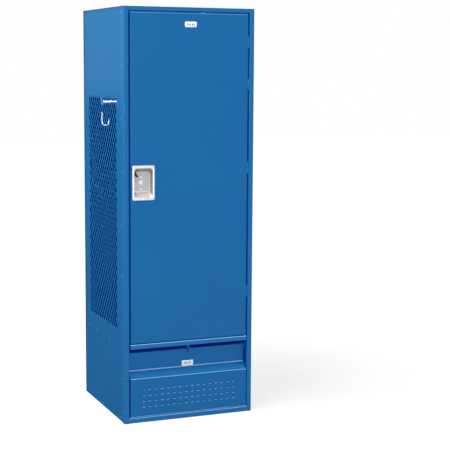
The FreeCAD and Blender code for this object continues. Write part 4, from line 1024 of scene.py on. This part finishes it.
VENT_COLUMNS = 16
VENT_ROWS = 4
VENT_PITCH_ACROSS = 28.7 * MM
VENT_PITCH_UP = 25.9 * MM
VENT_LOW = 72 * MM
VENT_HEIGHT = 4.6 * MM
VENT_LIP_WIDTH = 9.4 * MM
VENT_LIP_END = 1.2 * MM
VENT_LIP = [
    (0.1, -2.9),
    (-0.5, -2.3),
    (-0.9, -1.2),
    (-0.7, -0.2),
    (-0.1, 0.7),
    (0.9, 1.3),
    (1.9, 1.5),
    (1.9, 1.0),
    (0.9, 0.6),
    (0.4, -0.2),
    (0.4, -2.8),
]


def vent_lips():
    """Tongue of each vent, pressed out at the slot's lower edge and turned in behind it."""
    shape = bmesh.new()
    for row in range(VENT_ROWS):
        edge = VENT_LOW + row * VENT_PITCH_UP - VENT_HEIGHT / 2
        section = [(FRONT + y * MM, edge + z * MM) for y, z in VENT_LIP]
        for column in range(VENT_COLUMNS):
            x = (column - (VENT_COLUMNS - 1) / 2) * VENT_PITCH_ACROSS
            add_strip(shape, section, x - VENT_LIP_WIDTH / 2, x + VENT_LIP_WIDTH / 2, VENT_LIP_END)
    mesh = mesh_from("vent_lips", shape)
    add_piece("vent_lips", mesh, "foot_locker_front", FLAP_ENAMEL, math.radians(50))


CREASE_DROP = 1.5 * MM
CREASE_END = 1.5 * MM
CREASE_INSET = 2.5 * MM
CREASE_SECTION = [
    (0.2, 2.6),
    (-0.5, 2.0),
    (-1.3, 1.0),
    (-2.0, -0.1),
    (-2.5, -1.3),
    (-2.6, -2.3),
    (0.2, -0.4),
]


def crease_bead():
    """Rolled crease along the top of the foot-locker front's ledge."""
    plate_low, plate_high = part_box("flap_number_plate")
    low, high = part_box("flap_front")
    wall = plate_high.y
    level = plate_low.z - CREASE_DROP
    shape = bmesh.new()
    section = [(wall + y * MM, level + z * MM) for y, z in CREASE_SECTION]
    add_strip(shape, section, low.x + CREASE_INSET, high.x - CREASE_INSET, CREASE_END)
    mesh = mesh_from("crease_bead", shape)
    add_piece("crease_bead", mesh, "foot_locker_front", FLAP_ENAMEL, math.radians(50))


# Door fittings

CLIP_SECTION = [(2, -0.3), (2, 2.2), (3, 3.6), (13, 3.6), (14, 2.6), (14, -0.3)]
CLIP_SPAN = (50 * MM, 70 * MM)
CLIP_END = 1.5 * MM
WELD_COUNT = 12
WELD_INSET = 10 * MM
WELD_RADIUS = 3.5 * MM
WELD_HEIGHT = 0.35 * MM


def gap_clip():
    """Small bent clip on the door's top edge, seen in the gap under the top rail."""
    low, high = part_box("door_pan")
    section = [(low.y + y * MM, high.z + z * MM) for y, z in CLIP_SECTION]
    shape = bmesh.new()
    add_strip(shape, section, *CLIP_SPAN, CLIP_END)
    mesh = mesh_from("gap_clip", shape)
    add_piece("gap_clip", mesh, "door", RIVET_HIGHLIGHT_BLUE, math.radians(40))


def stiffener_welds():
    """Rows of spot welds along the stiffener's two feet."""
    low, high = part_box("door_stiffener")
    foot = low.y + SHEET_STEEL
    shape = bmesh.new()
    for i in range(WELD_COUNT):
        level = low.z + (high.z - low.z) * (i + 0.5) / WELD_COUNT
        for x in (low.x + WELD_INSET, high.x - WELD_INSET):
            add_dome(shape, (x, foot, level), (0, 1, 0), WELD_RADIUS, WELD_HEIGHT, sides=12)
    mesh = mesh_from("stiffener_welds", shape)
    add_piece("stiffener_welds", mesh, "door", DOOR_ENAMEL, math.radians(60))


# Number plates

PLATE_NUMBER = "00124"
NUMBER_HEIGHT = 11.5 * MM
NUMBER_WEIGHT = 0.35 * MM
NUMBER_LIFT = 0.15 * MM
NUMBER_SPACING = 1.25
PLATE_EDGE = 0.4 * MM


def number_plate(node, body, corner):
    """Enamelled plate with rounded corners and a plain locker number printed on it."""
    low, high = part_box(node)
    middle = (low.x + high.x) / 2
    half = (high.x - low.x) / 2
    face = low.y + NUMBER_LIFT
    rings = []
    for y, inset in (
        (face, PLATE_EDGE),
        (face + PLATE_EDGE / 2, 0.3 * PLATE_EDGE),
        (face + PLATE_EDGE, 0),
        (high.y, 0),
    ):
        rings.append(rounded_loop(y, middle, half - inset, low.z + inset, high.z - inset, corner - inset))
    shape = bmesh.new()
    add_loops(shape, rings)
    mesh = mesh_from(f"{node}_shell", shape)
    plate = add_piece(f"{node}_shell", mesh, body, WHITE_PLATE, math.radians(40))
    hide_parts(node)
    words = bpy.data.curves.new(f"{node}_number", "FONT")
    words.body = PLATE_NUMBER
    words.size = NUMBER_HEIGHT
    words.space_character = NUMBER_SPACING
    words.offset = NUMBER_WEIGHT
    words.align_x = "CENTER"
    words.align_y = "CENTER"
    words.extrude = NUMBER_LIFT / 2
    words.materials.append(GREY_INK)
    number = new_object(f"{node}_number", words)
    number.location = (middle, face - NUMBER_LIFT / 2, (low.z + high.z) / 2)
    number.rotation_euler = (math.pi / 2, 0, 0)
    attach(number, body)


# Studio

WHITE = (1.0, 1.0, 1.0, 1)
FLOOR_COLOUR = (0.24, 0.24, 0.24, 1)
FLOOR_LIFT = (0.78, 0.97)
FLOOR_REACH = (1.2, 4.0)
SKY_LIGHT = 0.2
STAGE_SIZE = 40.0
CAMERA_PLACE = (-1.943, -5.3648, 1.583)
CAMERA_LENS = 98.62
CAMERA_YAW = math.radians(22.657)
CAMERA_PITCH = math.radians(-7.407)
CAMERA_ROLL = math.radians(0.382)


def place_camera():
    """Camera at the photo's place, angle and lens."""
    data = bpy.data.cameras.new("photo_camera")
    data.lens = CAMERA_LENS
    data.sensor_width = 36.0
    data.clip_end = 200.0
    camera = new_object("photo_camera", data)
    ahead = Vector(
        (
            math.sin(CAMERA_YAW) * math.cos(CAMERA_PITCH),
            math.cos(CAMERA_YAW) * math.cos(CAMERA_PITCH),
            math.sin(CAMERA_PITCH),
        )
    )
    level = Vector((math.cos(CAMERA_YAW), -math.sin(CAMERA_YAW), 0))
    above = level.cross(ahead)
    right = level * math.cos(CAMERA_ROLL) + above * math.sin(CAMERA_ROLL)
    up = right.cross(ahead)
    turn = Matrix((right, up, -ahead)).transposed().to_4x4()
    camera.matrix_world = Matrix.Translation(CAMERA_PLACE) @ turn
    bpy.context.scene.camera = camera


def shown_white(tree):
    """One for rays that see the surroundings, directly or in a reflection, and nought for light."""
    path = tree.nodes.new("ShaderNodeLightPath")
    seen = math_node(tree, "MAXIMUM", path.outputs["Is Camera Ray"], path.outputs["Is Glossy Ray"])
    return math_node(tree, "MAXIMUM", seen, path.outputs["Is Transmission Ray"])


def add_floor():
    """Pale floor that is seen nearly white and keeps the locker's shadow."""
    mesh = bpy.data.meshes.new("floor")
    half = STAGE_SIZE / 2
    corners = [(-half, -half, 0), (half, -half, 0), (half, half, 0), (-half, half, 0)]
    mesh.from_pydata(corners, [], [(0, 1, 2, 3)])
    floor = new_object("floor", mesh)
    material = bpy.data.materials.new("pale_floor")
    material.use_nodes = True
    tree = material.node_tree
    shader = tree.nodes["Principled BSDF"]
    shader.inputs["Base Color"].default_value = FLOOR_COLOUR
    shader.inputs["Roughness"].default_value = 0.9
    shader.inputs["Specular IOR Level"].default_value = 0.0
    shader.inputs["Emission Color"].default_value = WHITE
    place = tree.nodes.new("ShaderNodeTexCoord").outputs["Object"]
    reach = tree.nodes.new("ShaderNodeVectorMath")
    reach.operation = "LENGTH"
    tree.links.new(place, reach.inputs[0])
    spread = remap(tree, reach.outputs["Value"], *FLOOR_REACH, *FLOOR_LIFT)
    lift = math_node(tree, "MULTIPLY", shown_white(tree), spread)
    tree.links.new(lift, shader.inputs["Emission Strength"])
    mesh.materials.append(material)


def add_world():
    """White surroundings that give only a little light."""
    world = bpy.data.worlds.new("studio")
    bpy.context.scene.world = world
    world.use_nodes = True
    tree = world.node_tree
    sky = tree.nodes["Background"]
    sky.inputs["Color"].default_value = WHITE
    strength = remap(tree, shown_white(tree), 0.0, 1.0, SKY_LIGHT, 1.0)
    tree.links.new(strength, sky.inputs["Strength"])


def add_softbox(name, place, target, size, power):
    """Soft studio lamp turned to its target."""
    data = bpy.data.lights.new(name, "AREA")
    data.shape = "RECTANGLE"
    data.size = size[0]
    data.size_y = size[1]
    data.energy = power
    lamp = new_object(name, data)
    lamp.visible_camera = False
    lamp.location = place
    lamp.rotation_euler = (Vector(target) - Vector(place)).to_track_quat("-Z", "Y").to_euler()
    return lamp


def keep_light_on(lamp, pieces):
    """Lets a lamp reach the named pieces only."""
    lit = bpy.data.collections.new(f"{lamp.name}_pieces")
    for name in pieces:
        lit.objects.link(bpy.data.objects[name])
    lamp.light_linking.receiver_collection = lit
    return lit


def keep_light_off(lamp, pieces):
    """Stops a lamp from reaching the named pieces."""
    left_out = bpy.data.collections.new(f"{lamp.name}_left_out")
    for name in pieces:
        left_out.objects.link(bpy.data.objects[name])
    for entry in left_out.collection_objects:
        entry.light_linking.link_state = "EXCLUDE"
    lamp.light_linking.receiver_collection = left_out


def add_glint(name, piece, place, target, size, power):
    """Lamp that lights one bright fitting, as the studio light does through the mesh."""
    lamp = add_softbox(name, place, target, (size, size), power)
    lamp.light_linking.blocker_collection = keep_light_on(lamp, [piece])


INSIDES = ["back_panel", "seat_shelf", "anchor_plugs"]
FAR_SIDES = ["back_panel", "right_side_panel_sheet", "right_upright", "right_rivets"]


def light_studio():
    """Soft boxes around the locker, and lamps for the inside, the far sides and the bright fittings."""
    middle = (0, 0, 0.95)
    add_softbox("front_box", (-0.9, -5.0, 1.4), middle, (1.8, 1.4), 121)
    side = add_softbox("left_box", (-3.1, 0.0, 2.75), (-0.3, 0, 1.6), (1.6, 1.2), 80)
    keep_light_off(side, INSIDES)
    above = add_softbox("top_box", (-1.3, -1.0, 5.6), (0, -0.3, 0.6), (1.8, 1.4), 250)
    keep_light_off(above, INSIDES)
    seat = add_softbox("seat_box", (0.0, -1.6, 5.6), (0, -0.3, 0.6), (1.0, 1.4), 250)
    keep_light_on(seat, ["seat_shelf"])
    add_softbox("right_box", (4.4, -4.2, 1.4), middle, (1.6, 2.0), 36)
    sheen = add_softbox("rear_box", (-1.9, 4.2, 2.3), (-0.3, 0, 1.5), (2.0, 2.0), 32)
    sheen.visible_diffuse = False
    for name, place in (("back_fill", (0.6, 5.0, 2.6)), ("far_fill", (4.6, 1.0, 2.4))):
        keep_light_on(add_softbox(name, place, middle, (2.2, 2.2), 130), FAR_SIDES)
    add_glint("hook_glint", "coat_hook_wires", (-2.4, -1.8, 1.9), (-0.28, 0, 1.4), 0.6, 100)
    add_glint("rod_glint", "coat_rod", (0.98, -3.77, 1.3), (-0.2, 0, 1.43), 1.4, 170)


dress_cad_nodes()
side_sheet(-1, "left_side_panel")
side_sheet(1, "right_side_panel")
side_rivets()
anchor_plugs()
latch_cup()
trigger_lift()
cup_heads()
coat_hooks()
rod_sockets()
vent_lips()
crease_bead()
gap_clip()
stiffener_welds()
number_plate("number_plate", "door", 6 * MM)
number_plate("flap_number_plate", "foot_locker_front", 2 * MM)
place_camera()
add_floor()
add_world()
light_studio()
bpy.context.scene.view_settings.view_transform = "Standard"
